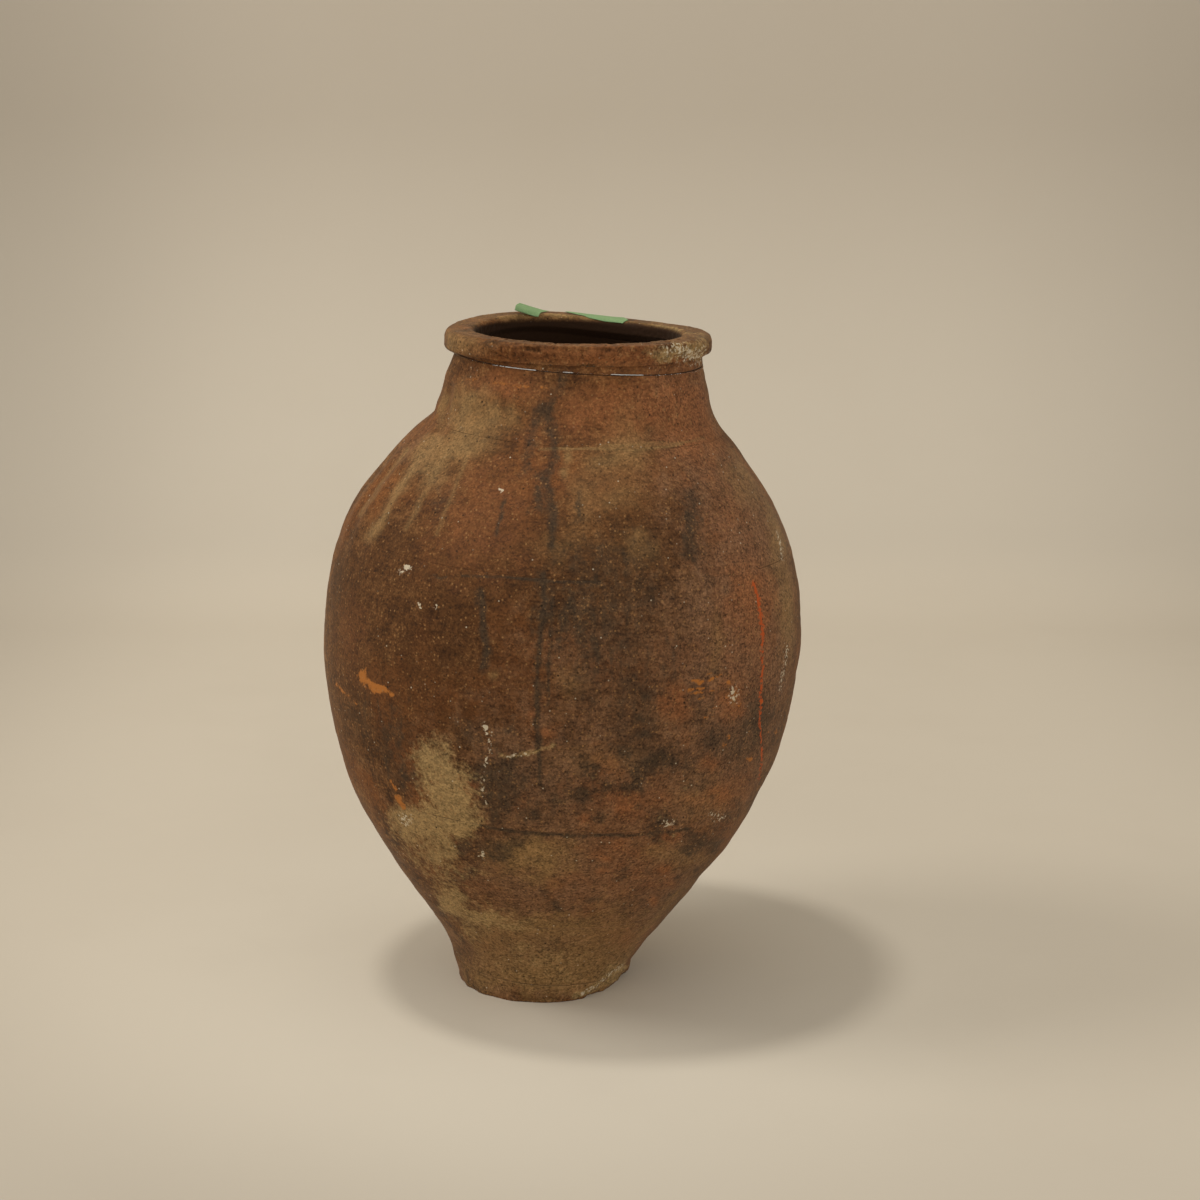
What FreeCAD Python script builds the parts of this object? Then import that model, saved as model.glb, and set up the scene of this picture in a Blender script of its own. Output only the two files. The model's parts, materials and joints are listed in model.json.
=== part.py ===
import FreeCAD, Part

# Terracotta olive jar, raised in courses that are luted together, leaning as fired.
# Millimetres. +Z is up, the ground is Z = 0, and the origin is under the middle of the belly.
# The clay is drawn in the jar's own upright frame, as radius and level, and is leaned at the end.

import math
import os

from FreeCAD import Rotation, Vector

# Stance
LEAN_DEG = 3.5  # the whole jar leans towards +X

# Heights of the courses along the jar's axis, from the ground up
SLAB_HEIGHT = 25.0
FOOT_HEIGHT = 92.0
LOWER_HEIGHT = 143.0
BELLY_HEIGHT = 286.0
SHOULDER_HEIGHT = 127.0
NECK_HEIGHT = 76.0
RIM_HEIGHT = 31.0

# Outer radii at the top of each course, and where the belly is widest
GROUND_RADIUS = 101.0
SLAB_FLARE = 6.5  # from the ground to the slab's top
FOOT_RADIUS = 164.5
LOWER_RADIUS = 248.0
BELLY_RADIUS = 276.5
SHOULDER_RADIUS = 258.0
NECK_FLARE = 28.5  # from the neck's top to its base

# Shape of the outline inside a course: share of its height, and share of its change of radius
ANKLE_SHARES = (0.38, 0.29)
LOWER_SHARES = (0.51, 0.58)
SWELL_SHARES = (0.28, 0.74)
WIDEST_HEIGHT_SHARE = 0.60
SHOULDER_SHARES = (0.51, 0.42)
NECK_CORNER_SHARES = (0.23, 0.42)
NECK_MIDDLE_SHARES = (0.56, 0.68)

# Wall and the scarfed joints between courses
WALL = 17.0
SCARF_DROP = 6.0  # the inner edge of a joint lies lower than its outer edge
SLIP_THICKNESS = 1.0
SLIP_RECESS = 1.5  # the slip stops short of both faces of the wall

# Rim: a collar on the neck, and a rolled lip that was levelled by hand
LIP_TILT_DEG = 2.0  # back towards level, against the lean
LIP_SHIFT = 2.5  # off the neck's axis, against the lean
RIM_RADIUS = 152.5
LIP_WIDTH = 34.5  # from the mouth to the outside of the lip
LIP_OVERHANG = 11.0  # from the neck's top to the outside of the lip
MOUTH_LAND = 8.0  # straight stretch of the mouth, where a stopper seats
RIM_OUTER_ROUND = 9.0
RIM_INNER_ROUND = 7.0
LIP_HEIGHT = 23.0
LIP_ROUND = 5.0
COLLAR_TAPER = 2.0  # from the neck's top to the collar's, inside the lip
WEAR_DEPTH = 7.0  # the lip is worn back at the front
WEAR_SPAN_DEG = 104.0
WEAR_AZIMUTH_DEG = -75.0

# Chip in the foot's edge
CHIP_DEPTH = 12.0
CHIP_HEIGHT = 15.0
CHIP_AZIMUTH_DEG = -32.0

# Nylon line tied round the top of the neck
LINE_DIAMETER = 1.2
LINE_DROP = 1.5  # from the rim's joint down to the line
LINE_CLEARANCE = 0.2
KNOT_DIAMETER = 3.6
KNOT_LENGTH = 6.0
KNOT_AZIMUTH_DEG = 70.0

# Label tape on the rim
TAPE_THICKNESS = 0.3
TAPE_CLEARANCE = 0.1  # the glue that holds it on the clay
TAPE_WIDTH = 24.0
LONG_TAPE_LENGTH = 62.0
LONG_TAPE_AZIMUTH_DEG = 77.0
LONG_TAPE_FOLD_DEG = 65.0  # how far it folds round the inside of the lip
SHORT_TAPE_LENGTH = 36.0
SHORT_TAPE_STUCK_LENGTH = 12.0
SHORT_TAPE_BEND_RADIUS = 40.0
SHORT_TAPE_LIFT_DEG = 14.0
SHORT_TAPE_AZIMUTH_DEG = 111.0
SHORT_TAPE_YAW_DEG = 42.0  # turns its free end outwards
SHORT_TAPE_ROLL_DEG = 9.0  # its outer edge has sprung up too
SHORT_TAPE_INNER_MARGIN = 1.0  # from its stuck edge to where the rim's flat top ends

OVERRUN = 5.0  # how far cutters pass the clay

# Radii that follow from those of the ground and the rim
slab_radius = GROUND_RADIUS + SLAB_FLARE
mouth_radius = RIM_RADIUS - LIP_WIDTH
neck_top_radius = RIM_RADIUS - LIP_OVERHANG
neck_base_radius = neck_top_radius + NECK_FLARE
collar_radius = neck_top_radius - COLLAR_TAPER

# Levels of the joints, worked out from the heights
slab_top = SLAB_HEIGHT
foot_top = slab_top + FOOT_HEIGHT
lower_top = foot_top + LOWER_HEIGHT
belly_top = lower_top + BELLY_HEIGHT
shoulder_top = belly_top + SHOULDER_HEIGHT
neck_top = shoulder_top + NECK_HEIGHT
rim_top = neck_top + RIM_HEIGHT
widest = lower_top + WIDEST_HEIGHT_SHARE * BELLY_HEIGHT

# Edges of the lip and of its flat top, worked out from the rim's sizes
lip_bottom = rim_top - LIP_HEIGHT
lip_middle = rim_top - LIP_HEIGHT / 2
flat_outside = RIM_RADIUS - RIM_OUTER_ROUND
flat_inside = mouth_radius + RIM_INNER_ROUND

AXIS_FOOT = Vector(0, 0, 0)
AXIS_UP = Vector(0, 0, 1)
FULL_TURN_DEG = 360.0


def at(radius, level):
    """A point of the half section."""
    return Vector(radius, 0, level)


def between(low, high, shares):
    """The point part of the way up a course, by its shares of height and radius."""
    height_share, radius_share = shares
    radius = low.x + radius_share * (high.x - low.x)
    level = low.z + height_share * (high.z - low.z)
    return at(radius, level)


def spline(points):
    """A smooth curve through the points."""
    curve = Part.BSplineCurve()
    curve.interpolate(points)
    return curve


def outer_curve():
    """The outside of the clay, from the ground to the top of the collar inside the lip."""
    ground = at(GROUND_RADIUS, 0)
    slab = at(slab_radius, slab_top)
    foot = at(FOOT_RADIUS, foot_top)
    lower = at(LOWER_RADIUS, lower_top)
    belly = at(BELLY_RADIUS, widest)
    shoulder = at(SHOULDER_RADIUS, belly_top)
    neck_base = at(neck_base_radius, shoulder_top)
    neck = at(neck_top_radius, neck_top)
    collar = at(collar_radius, lip_middle)
    swell_height_share, swell_radius_share = SWELL_SHARES
    swell_shares = (swell_height_share / WIDEST_HEIGHT_SHARE, swell_radius_share)
    return spline([
        ground,
        slab,
        between(slab, foot, ANKLE_SHARES),
        foot,
        between(foot, lower, LOWER_SHARES),
        lower,
        between(lower, belly, swell_shares),
        belly,
        shoulder,
        between(shoulder, neck_base, SHOULDER_SHARES),
        neck_base,
        between(neck_base, neck, NECK_CORNER_SHARES),
        between(neck_base, neck, NECK_MIDDLE_SHARES),
        neck,
        collar,
    ])


def parameter_at(curve, level):
    """Where a curve that climbs all the way reaches a level."""
    low, high = curve.FirstParameter, curve.LastParameter
    for _ in range(60):
        middle = (low + high) / 2
        if curve.value(middle).z < level:
            low = middle
        else:
            high = middle
    return (low + high) / 2


def point_at(curve, level):
    return curve.value(parameter_at(curve, level))


def slope_at(curve, parameter):
    """Change of radius with level."""
    direction = curve.tangent(parameter)[0]
    return direction.x / direction.z


def inner_curve(outer):
    """The inside of the wall, WALL away from the outside along its normal."""
    points = []
    for parameter in outer.getKnots():
        place = outer.value(parameter)
        points.append(at(place.x - WALL * math.hypot(1, slope_at(outer, parameter)), place.z))
    return spline(points)


def stretch(curve, low_level, high_level):
    """The part of a curve between two levels, as an edge."""
    return curve.toShape(parameter_at(curve, low_level), parameter_at(curve, high_level))


def line(start, end):
    return Part.LineSegment(start, end).toShape()


def arc(start, middle, end):
    return Part.Arc(start, middle, end).toShape()


def turned(edges, angle_deg=FULL_TURN_DEG):
    """A solid of revolution from the edges of a closed half section."""
    face = Part.Face(Part.Wire(edges))
    solid = face.revolve(AXIS_FOOT, AXIS_UP, angle_deg)
    if solid.Volume < 0:
        solid.reverse()
    return solid


def polygon(points):
    return [line(a, b) for a, b in zip(points, points[1:] + points[:1])]


def joint_face(outer, inner, level, drop):
    """Both ends of a joint's face in the half section. The inner end is lower by the drop."""
    return point_at(outer, level), point_at(inner, level - drop)


def course(outer, inner, low, high):
    """One raised ring of the wall between two joints, each a level and a drop."""
    half_slip = SLIP_THICKNESS / 2
    low_level, low_drop = low
    high_level, high_drop = high
    low_outside, low_inside = joint_face(outer, inner, low_level + half_slip, low_drop)
    high_outside, high_inside = joint_face(outer, inner, high_level - half_slip, high_drop)
    return turned([
        stretch(outer, low_outside.z, high_outside.z),
        line(high_outside, high_inside),
        stretch(inner, low_inside.z, high_inside.z),
        line(low_inside, low_outside),
    ])


def recessed(outside, inside):
    """A joint's face as far as the slip covers it."""
    along = (inside - outside).normalize()
    return outside + along * SLIP_RECESS, inside - along * SLIP_RECESS


def slip_ring(outer, inner, level, drop):
    """The thin layer of slip that lutes the joint at a level."""
    half_slip = SLIP_THICKNESS / 2
    low_start, low_end = recessed(*joint_face(outer, inner, level - half_slip, drop))
    high_start, high_end = recessed(*joint_face(outer, inner, level + half_slip, drop))
    return turned(polygon([low_start, low_end, high_end, high_start]))


def slab(outer):
    """The base disc, long enough below the ground to be cut flat once it leans."""
    under = GROUND_RADIUS * math.tan(math.radians(LEAN_DEG)) + OVERRUN
    edge = point_at(outer, slab_top - SLIP_THICKNESS / 2)
    ground = at(GROUND_RADIUS, 0)
    return turned([
        stretch(outer, 0, edge.z),
        line(edge, at(0, edge.z)),
        line(at(0, edge.z), at(0, -under)),
        line(at(0, -under), at(GROUND_RADIUS, -under)),
        line(at(GROUND_RADIUS, -under), ground),
    ])


def corner_arc(centre, radius, start_deg, end_deg):
    """A round of the half section, by its centre and the directions that it turns through."""
    points = []
    for angle in (start_deg, (start_deg + end_deg) / 2, end_deg):
        turn = math.radians(angle)
        points.append(centre + Vector(math.cos(turn), 0, math.sin(turn)) * radius)
    return arc(*points)


def lip(inner):
    """The rolled lip, before wear."""
    land_top = rim_top - RIM_INNER_ROUND
    land_bottom = land_top - MOUTH_LAND
    under_outside = at(RIM_RADIUS - LIP_ROUND, lip_bottom)
    under_inside = point_at(inner, lip_bottom)
    side = lip_bottom + LIP_ROUND
    shoulder = rim_top - RIM_OUTER_ROUND
    return turned([
        line(under_inside, under_outside),
        corner_arc(at(under_outside.x, side), LIP_ROUND, -90, 0),
        line(at(RIM_RADIUS, side), at(RIM_RADIUS, shoulder)),
        corner_arc(at(flat_outside, shoulder), RIM_OUTER_ROUND, 0, 90),
        line(at(flat_outside, rim_top), at(flat_inside, rim_top)),
        corner_arc(at(flat_inside, land_top), RIM_INNER_ROUND, 90, 180),
        line(at(mouth_radius, land_top), at(mouth_radius, land_bottom)),
        line(at(mouth_radius, land_bottom), under_inside),
    ])


def levelled(shape):
    """Tips a piece from the jar's frame into that of the lip, which was levelled by hand."""
    tip = Rotation(Vector(0, 1, 0), -LIP_TILT_DEG)
    placement = FreeCAD.Placement(Vector(-LIP_SHIFT, 0, 0), tip, AXIS_UP * lip_middle)
    tipped = shape.copy()
    tipped.Placement = placement.multiply(tipped.Placement)
    return tipped


def rim(outer, inner, seat):
    """The whole rim: the worn lip, levelled, on a collar that seats on the neck and ends inside the lip."""
    collar = course(outer, inner, seat, (lip_middle, 0))
    worn_lip = lip(inner).common(unworn_cylinder())
    return collar.fuse(levelled(worn_lip)).removeSplitter()


def toward(azimuth_deg):
    turn = math.radians(azimuth_deg)
    return Vector(math.cos(turn), math.sin(turn), 0)


def unworn_cylinder():
    """What the wear leaves: an eccentric cylinder that meets the lip at both ends of the worn span."""
    left_radius = RIM_RADIUS - WEAR_DEPTH
    reach = RIM_RADIUS * math.cos(math.radians(WEAR_SPAN_DEG / 2))
    offset = (RIM_RADIUS**2 - left_radius**2) / (2 * (left_radius - reach))
    base = toward(WEAR_AZIMUTH_DEG) * -offset + AXIS_UP * shoulder_top
    return Part.makeCylinder(left_radius + offset, rim_top - shoulder_top + OVERRUN, base, AXIS_UP)


def chip_cutter(foot_centre):
    """The wedge that is missing from the foot's edge."""
    slope = CHIP_HEIGHT / CHIP_DEPTH
    start = GROUND_RADIUS - CHIP_DEPTH
    end = slab_radius + OVERRUN
    half_width = slab_radius
    points = [
        Vector(start - OVERRUN / slope, -half_width, -OVERRUN),
        Vector(end, -half_width, -OVERRUN),
        Vector(end, -half_width, (end - start) * slope),
    ]
    wedge = Part.Face(Part.Wire(polygon(points))).extrude(Vector(0, 2 * half_width, 0))
    wedge.Placement = FreeCAD.Placement(foot_centre, Rotation(AXIS_UP, CHIP_AZIMUTH_DEG))
    return wedge


def neck_line(outer):
    """A closed loop of nylon line on the neck, with the knot that ties it."""
    level = neck_top - LINE_DROP
    parameter = parameter_at(outer, level)
    neck_radius = outer.value(parameter).x
    steepness = math.hypot(1, slope_at(outer, parameter))
    loop_radius = neck_radius + (LINE_DIAMETER / 2 + LINE_CLEARANCE) * steepness
    loop = Part.makeTorus(loop_radius, LINE_DIAMETER / 2, AXIS_UP * level, AXIS_UP)
    knot_radius = neck_radius + (KNOT_DIAMETER / 2 + LINE_CLEARANCE) * steepness
    out = toward(KNOT_AZIMUTH_DEG)
    along = toward(KNOT_AZIMUTH_DEG + 90)
    knot_start = out * knot_radius - along * (KNOT_LENGTH / 2) + AXIS_UP * level
    knot = Part.makeCylinder(KNOT_DIAMETER / 2, KNOT_LENGTH, knot_start, along)
    return loop.fuse(knot).removeSplitter()


def long_tape():
    """A strip that lies along the rim's top and folds over its inner round."""
    fold_length = RIM_INNER_ROUND * math.radians(LONG_TAPE_FOLD_DEG)
    edge = flat_inside + TAPE_WIDTH - fold_length
    centre = at(flat_inside, rim_top - RIM_INNER_ROUND)
    lower_round = RIM_INNER_ROUND + TAPE_CLEARANCE
    upper_round = lower_round + TAPE_THICKNESS
    fold_deg = 90 + LONG_TAPE_FOLD_DEG
    turn = math.radians(fold_deg)
    fold_end = Vector(math.cos(turn), 0, math.sin(turn))
    lower = rim_top + TAPE_CLEARANCE
    upper = lower + TAPE_THICKNESS
    section = [
        line(at(edge, lower), at(flat_inside, lower)),
        corner_arc(centre, lower_round, 90, fold_deg),
        line(centre + fold_end * lower_round, centre + fold_end * upper_round),
        corner_arc(centre, upper_round, fold_deg, 90),
        line(at(flat_inside, upper), at(edge, upper)),
        line(at(edge, upper), at(edge, lower)),
    ]
    span_deg = math.degrees(LONG_TAPE_LENGTH / ((edge + flat_inside) / 2))
    strip = turned(section, span_deg)
    strip.rotate(AXIS_FOOT, AXIS_UP, LONG_TAPE_AZIMUTH_DEG - span_deg / 2)
    return strip


def short_tape():
    """A strip stuck down along one edge and at one end, whose other end has sprung up."""
    bend = math.radians(SHORT_TAPE_LIFT_DEG)
    along = Vector(math.cos(bend), 0, math.sin(bend))
    away = Vector(-math.sin(bend), 0, math.cos(bend))
    free_length = SHORT_TAPE_LENGTH - SHORT_TAPE_STUCK_LENGTH - SHORT_TAPE_BEND_RADIUS * bend
    centre = at(SHORT_TAPE_STUCK_LENGTH, SHORT_TAPE_BEND_RADIUS)
    upper_radius = SHORT_TAPE_BEND_RADIUS - TAPE_THICKNESS
    lower_bend_end = centre - away * SHORT_TAPE_BEND_RADIUS
    upper_bend_end = centre - away * upper_radius
    lower_end = lower_bend_end + along * free_length
    upper_end = upper_bend_end + along * free_length
    section = [
        line(at(0, 0), at(SHORT_TAPE_STUCK_LENGTH, 0)),
        corner_arc(centre, SHORT_TAPE_BEND_RADIUS, -90, -90 + SHORT_TAPE_LIFT_DEG),
        line(lower_bend_end, lower_end),
        line(lower_end, upper_end),
        line(upper_end, upper_bend_end),
        corner_arc(centre, upper_radius, -90 + SHORT_TAPE_LIFT_DEG, -90),
        line(at(SHORT_TAPE_STUCK_LENGTH, TAPE_THICKNESS), at(0, TAPE_THICKNESS)),
        line(at(0, TAPE_THICKNESS), at(0, 0)),
    ]
    strip = Part.Face(Part.Wire(section)).extrude(Vector(0, -TAPE_WIDTH, 0))
    strip.rotate(AXIS_FOOT, Vector(1, 0, 0), -SHORT_TAPE_ROLL_DEG)
    stuck_radius = flat_inside + SHORT_TAPE_INNER_MARGIN
    stuck_level = rim_top + TAPE_CLEARANCE
    place = toward(SHORT_TAPE_AZIMUTH_DEG) * stuck_radius + AXIS_UP * stuck_level
    heading_deg = SHORT_TAPE_AZIMUTH_DEG + 90 - SHORT_TAPE_YAW_DEG
    strip.Placement = FreeCAD.Placement(place, Rotation(AXIS_UP, heading_deg)).multiply(strip.Placement)
    return strip


def leaned(shape):
    """Tips a piece from the jar's upright frame into its stance, with the belly over the origin."""
    belly_over_origin = Vector(-widest * math.sin(math.radians(LEAN_DEG)), 0, 0)
    stance = FreeCAD.Placement(belly_over_origin, Rotation(Vector(0, 1, 0), LEAN_DEG))
    tipped = shape.copy()
    tipped.Placement = stance.multiply(tipped.Placement)
    return tipped


def standing_slab(outer):
    """The slab, leaned, cut flat on the ground and chipped."""
    tipped = leaned(slab(outer))
    size = 4 * slab_radius
    ground = Part.makeBox(size, size, size, Vector(-size / 2, -size / 2, -size))
    foot_centre = leaned(Part.Vertex(AXIS_FOOT)).Point
    flat = tipped.cut(ground)
    return flat.cut(chip_cutter(Vector(foot_centre.x, foot_centre.y, 0))).removeSplitter()


def pieces():
    """Every piece by its node's name."""
    outer = outer_curve()
    inner = inner_curve(outer)
    joints = {
        "slab": (slab_top, 0),
        "foot": (foot_top, SCARF_DROP),
        "lower": (lower_top, SCARF_DROP),
        "belly": (belly_top, SCARF_DROP),
        "shoulder": (shoulder_top, SCARF_DROP),
        "neck": (neck_top, SCARF_DROP),
    }
    made = {"base_slab": standing_slab(outer)}
    names = list(joints)
    for below, this in zip(names, names[1:]):
        made[f"{this}_course"] = leaned(course(outer, inner, joints[below], joints[this]))
    made["rim_roll"] = leaned(rim(outer, inner, joints["neck"]))
    rings = [slip_ring(outer, inner, level, drop) for level, drop in joints.values()]
    made["luting_slip"] = leaned(Part.makeCompound(rings))
    made["neck_line"] = leaned(neck_line(outer))
    made["label_tape_long"] = leaned(levelled(long_tape()))
    made["label_tape_short"] = leaned(levelled(short_tape()))
    return made


def main():
    os.makedirs("parts", exist_ok=True)
    for name, shape in pieces().items():
        shape.exportStep(f"parts/{name}.step")
        box = shape.BoundBox
        print(
            f"{name}: {len(shape.Solids)} solids, valid {shape.isValid()}, {shape.Volume / 1000:.1f} cm3,"
            f" x {box.XMin:.2f} {box.XMax:.2f}, y {box.YMin:.2f} {box.YMax:.2f},"
            f" z {box.ZMin:.2f} {box.ZMax:.2f}"
        )


main()
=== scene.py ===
import itertools
import json
import math

import bpy
import numpy as np
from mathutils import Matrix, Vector
from mathutils.bvhtree import BVHTree


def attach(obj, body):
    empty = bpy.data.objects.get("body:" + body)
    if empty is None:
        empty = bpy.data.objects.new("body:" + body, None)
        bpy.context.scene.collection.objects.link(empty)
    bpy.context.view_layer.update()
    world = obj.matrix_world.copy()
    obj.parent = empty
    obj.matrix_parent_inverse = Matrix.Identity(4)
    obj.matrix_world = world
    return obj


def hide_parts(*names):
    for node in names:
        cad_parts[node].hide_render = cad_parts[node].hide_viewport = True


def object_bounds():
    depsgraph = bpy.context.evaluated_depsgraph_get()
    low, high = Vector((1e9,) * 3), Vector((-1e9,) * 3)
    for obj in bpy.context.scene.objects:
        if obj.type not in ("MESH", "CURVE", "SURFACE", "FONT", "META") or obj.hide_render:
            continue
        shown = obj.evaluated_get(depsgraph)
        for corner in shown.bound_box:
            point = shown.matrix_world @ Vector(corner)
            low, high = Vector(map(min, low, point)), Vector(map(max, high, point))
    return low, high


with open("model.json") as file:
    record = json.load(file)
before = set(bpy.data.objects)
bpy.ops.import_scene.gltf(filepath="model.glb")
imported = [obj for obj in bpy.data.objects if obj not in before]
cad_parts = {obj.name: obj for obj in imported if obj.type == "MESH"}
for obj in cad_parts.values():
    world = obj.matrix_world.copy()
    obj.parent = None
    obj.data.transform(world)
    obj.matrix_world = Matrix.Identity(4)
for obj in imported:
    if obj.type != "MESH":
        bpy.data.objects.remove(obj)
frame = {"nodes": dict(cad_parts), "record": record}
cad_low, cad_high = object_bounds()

# The looks of a weathered terracotta olive jar, built around its CAD frame.
# Metres, in the row frame. The jar leans, so its clay is worked in the jar's own upright frame,
# as azimuth round the axis, radius from it and level along it.
# Marks that the photograph shows are placed by pixels of its 1200 x 1200 frame.

MM = 0.001

# Camera of the photograph
PHOTO_PX = 1200
FOCAL_PX = 2550
CAMERA_PLACE = np.array((0.04315, -2.8968, 1.153))
CAMERA_PITCH = math.radians(13.43)
SENSOR_MM = 36.0

# Stance of the jar
LEAN = math.radians(3.5)
LIP_TILT = math.radians(2.0)
LIP_SHIFT = 2.5 * MM

COURSES = ["foot_course", "lower_course", "belly_course", "shoulder_course", "neck_course"]
CLAY = ["base_slab", *COURSES, "rim_roll"]


# Places


def jar_foot():
    """The middle of the foot, which the record states as a mount."""
    for mount in frame["record"]["mounts"]:
        if mount["name"] == "foot":
            return np.array(mount["pos_m"])
    raise ValueError("the record has no mount named foot")


FOOT = jar_foot()


def from_jar(radius, azimuth, level):
    """Points of the row frame from places in the jar's frame."""
    x = radius * np.cos(azimuth)
    y = radius * np.sin(azimuth)
    leaned_x = x * math.cos(LEAN) + level * math.sin(LEAN)
    leaned_z = level * math.cos(LEAN) - x * math.sin(LEAN)
    return np.stack([FOOT[0] + leaned_x, FOOT[1] + y, FOOT[2] + leaned_z], axis=-1)


def to_jar(points):
    """Radius, azimuth and level of points of the row frame."""
    x = points[..., 0] - FOOT[0]
    y = points[..., 1] - FOOT[1]
    z = points[..., 2] - FOOT[2]
    upright_x = x * math.cos(LEAN) - z * math.sin(LEAN)
    level = x * math.sin(LEAN) + z * math.cos(LEAN)
    return np.hypot(upright_x, y), np.arctan2(y, upright_x), level


def pixels(points):
    """Where points of the row frame lie in the photograph."""
    away = points - CAMERA_PLACE
    depth = away[..., 1] * math.cos(CAMERA_PITCH) - away[..., 2] * math.sin(CAMERA_PITCH)
    rise = away[..., 1] * math.sin(CAMERA_PITCH) + away[..., 2] * math.cos(CAMERA_PITCH)
    across = PHOTO_PX / 2 + FOCAL_PX * away[..., 0] / depth
    down = PHOTO_PX / 2 - FOCAL_PX * rise / depth
    return across, down


# Random fields


HASH = (374761393, 668265263, 974634777, 1274126177)


def lattice(cell, seed):
    """A fixed random value from 0 to 1 for each whole-number place."""
    mixed = cell[..., 0] * HASH[0] + cell[..., 1] * HASH[1] + cell[..., 2] * HASH[2]
    mixed = (mixed + seed * HASH[3]) & 0xFFFFFFFF
    mixed = ((mixed ^ (mixed >> 13)) * HASH[3]) & 0xFFFFFFFF
    return ((mixed ^ (mixed >> 16)) & 0xFFFF) / 0xFFFF


def noise(points, size, seed):
    """Smooth random values from -1 to 1 that change over about the size."""
    place = points / size
    base = np.floor(place).astype(np.int64)
    part = place - base
    part = part * part * (3 - 2 * part)
    total = 0
    for corner in itertools.product((0, 1), repeat=3):
        weight = np.prod(np.where(corner, part, 1 - part), axis=-1)
        total = total + weight * lattice(base + corner, seed)
    return 2 * total - 1


def rough(points, size, seed, octaves=3):
    """Noise with finer noise on it."""
    total = 0
    for octave in range(octaves):
        total = total + noise(points, size / 2**octave, seed + octave) / 2**octave
    return total


def smooth(low, high, value):
    """0 below low, 1 above high, and a smooth step between them."""
    share = np.clip((value - low) / (high - low), 0, 1)
    return share * share * (3 - 2 * share)


def bell(distance):
    return np.exp(-distance * distance)


# The wall of the CAD courses


def search_tree(names):
    """A search tree over CAD nodes, with the node that each of its faces belongs to."""
    vertices = []
    faces = []
    owners = []
    for name in names:
        mesh = frame["nodes"][name].data
        start = len(vertices)
        vertices += [vertex.co for vertex in mesh.vertices]
        for polygon in mesh.polygons:
            faces.append([start + index for index in polygon.vertices])
            owners.append(name)
    return BVHTree.FromPolygons(vertices, faces), owners


PROFILE_STEP = 0.25 * MM
JOINT_MARGIN = 1.2 * MM
FAR = 0.5
UNIT = 1.0
SIDE = math.pi / 2


def wall_profile():
    """Outer and inner radius by level, and the levels of the joints outside and inside."""
    tree, owners = search_tree(CLAY)
    heights = np.arange(PROFILE_STEP, cad_high.z, PROFILE_STEP)
    found = {"outer": [], "inner": []}
    for level in heights:
        middle = Vector(from_jar(0.0, SIDE, level))
        outside = Vector(from_jar(FAR, SIDE, level))
        outward = (outside - middle).normalized()
        for side, start, way in (("outer", outside, -outward), ("inner", middle, outward)):
            hit, _, face, _ = tree.ray_cast(start, way)
            if hit is not None:
                found[side].append((level, (hit - middle).length, owners[face]))
    profile = {}
    for side, samples in found.items():
        joints = []
        for low, high in zip(samples, samples[1:]):
            if CLAY.index(high[2]) == CLAY.index(low[2]) + 1:
                joints.append((low[0] + high[0]) / 2)
        clear = [s for s in samples if min(abs(s[0] - joint) for joint in joints) > JOINT_MARGIN]
        profile[side] = np.array([s[:2] for s in clear])
        profile[side + " joints"] = joints
    return profile


PROFILE = wall_profile()


def outer_radius(level):
    return np.interp(level, PROFILE["outer"][:, 0], PROFILE["outer"][:, 1])


def inner_radius(level):
    return np.interp(level, PROFILE["inner"][:, 0], PROFILE["inner"][:, 1])


# Marks placed by pixels of the photograph


def stroke(across, down, path, width):
    """1 along a line of points, falling to 0 over about the width."""
    nearest = np.full(across.shape, np.inf)
    for (start_x, start_y), (end_x, end_y) in zip(path, path[1:]):
        run_x = end_x - start_x
        run_y = end_y - start_y
        share = ((across - start_x) * run_x + (down - start_y) * run_y) / (run_x**2 + run_y**2)
        share = np.clip(share, 0, 1)
        gap = np.hypot(across - start_x - share * run_x, down - start_y - share * run_y)
        nearest = np.minimum(nearest, gap)
    return bell(nearest / width)


def covered(across, down, mark):
    """1 in the middle of a mark, falling to 0: a path with a width, or a place with two reaches."""
    if len(mark) == 2:
        return stroke(across, down, *mark)
    x, y, reach_x, reach_y = mark
    return bell(np.hypot((across - x) / reach_x, (down - y) / reach_y))


FACING_STEP = (0.08, 0.28)


def seen_share(points, normals):
    """1 where the photograph's camera sees a surface well, 0 where it is turned away."""
    toward = CAMERA_PLACE - points
    toward = toward / np.linalg.norm(toward, axis=-1, keepdims=True)
    return smooth(*FACING_STEP, np.sum(toward * normals, axis=-1))


WARP_SIZE = 14 * MM
WARP_SEED = 50
WANDER_SHARE = 0.45
SPOT_SHARES = (0.5, 1.0)


def marked(points, across, down, marks, seed):
    """How strongly marks cover each point, from 0 to 1, with edges that wander."""
    shift_x = WANDER_SHARE * rough(points, WARP_SIZE, seed)
    shift_y = WANDER_SHARE * rough(points, WARP_SIZE, seed + WARP_SEED)
    bare = 1
    for *mark, strength in marks:
        reach = mark[-1] if len(mark) == 2 else min(mark[-2:])
        cover = covered(across + shift_x * reach, down + shift_y * reach, mark)
        bare = bare * (1 - strength * cover)
    return 1 - bare


def strewn(seed, count, middle, spread, sizes, strength):
    """Spots strewn about a place in the photograph, wider than they are high."""
    chance = np.random.default_rng(seed)
    spots = []
    for _ in range(count):
        place = chance.normal(middle, spread)
        width = chance.uniform(*sizes)
        height = width * chance.uniform(*SPOT_SHARES)
        spots.append((*place, width, height, strength * chance.uniform(*SPOT_SHARES)))
    return spots


# Stains and painted light and shade, in pixels: a spot is its place, reaches and strength, a stroke its
# path, width and strength

# Soot, and one spot of painted shade on the left edge
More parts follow.
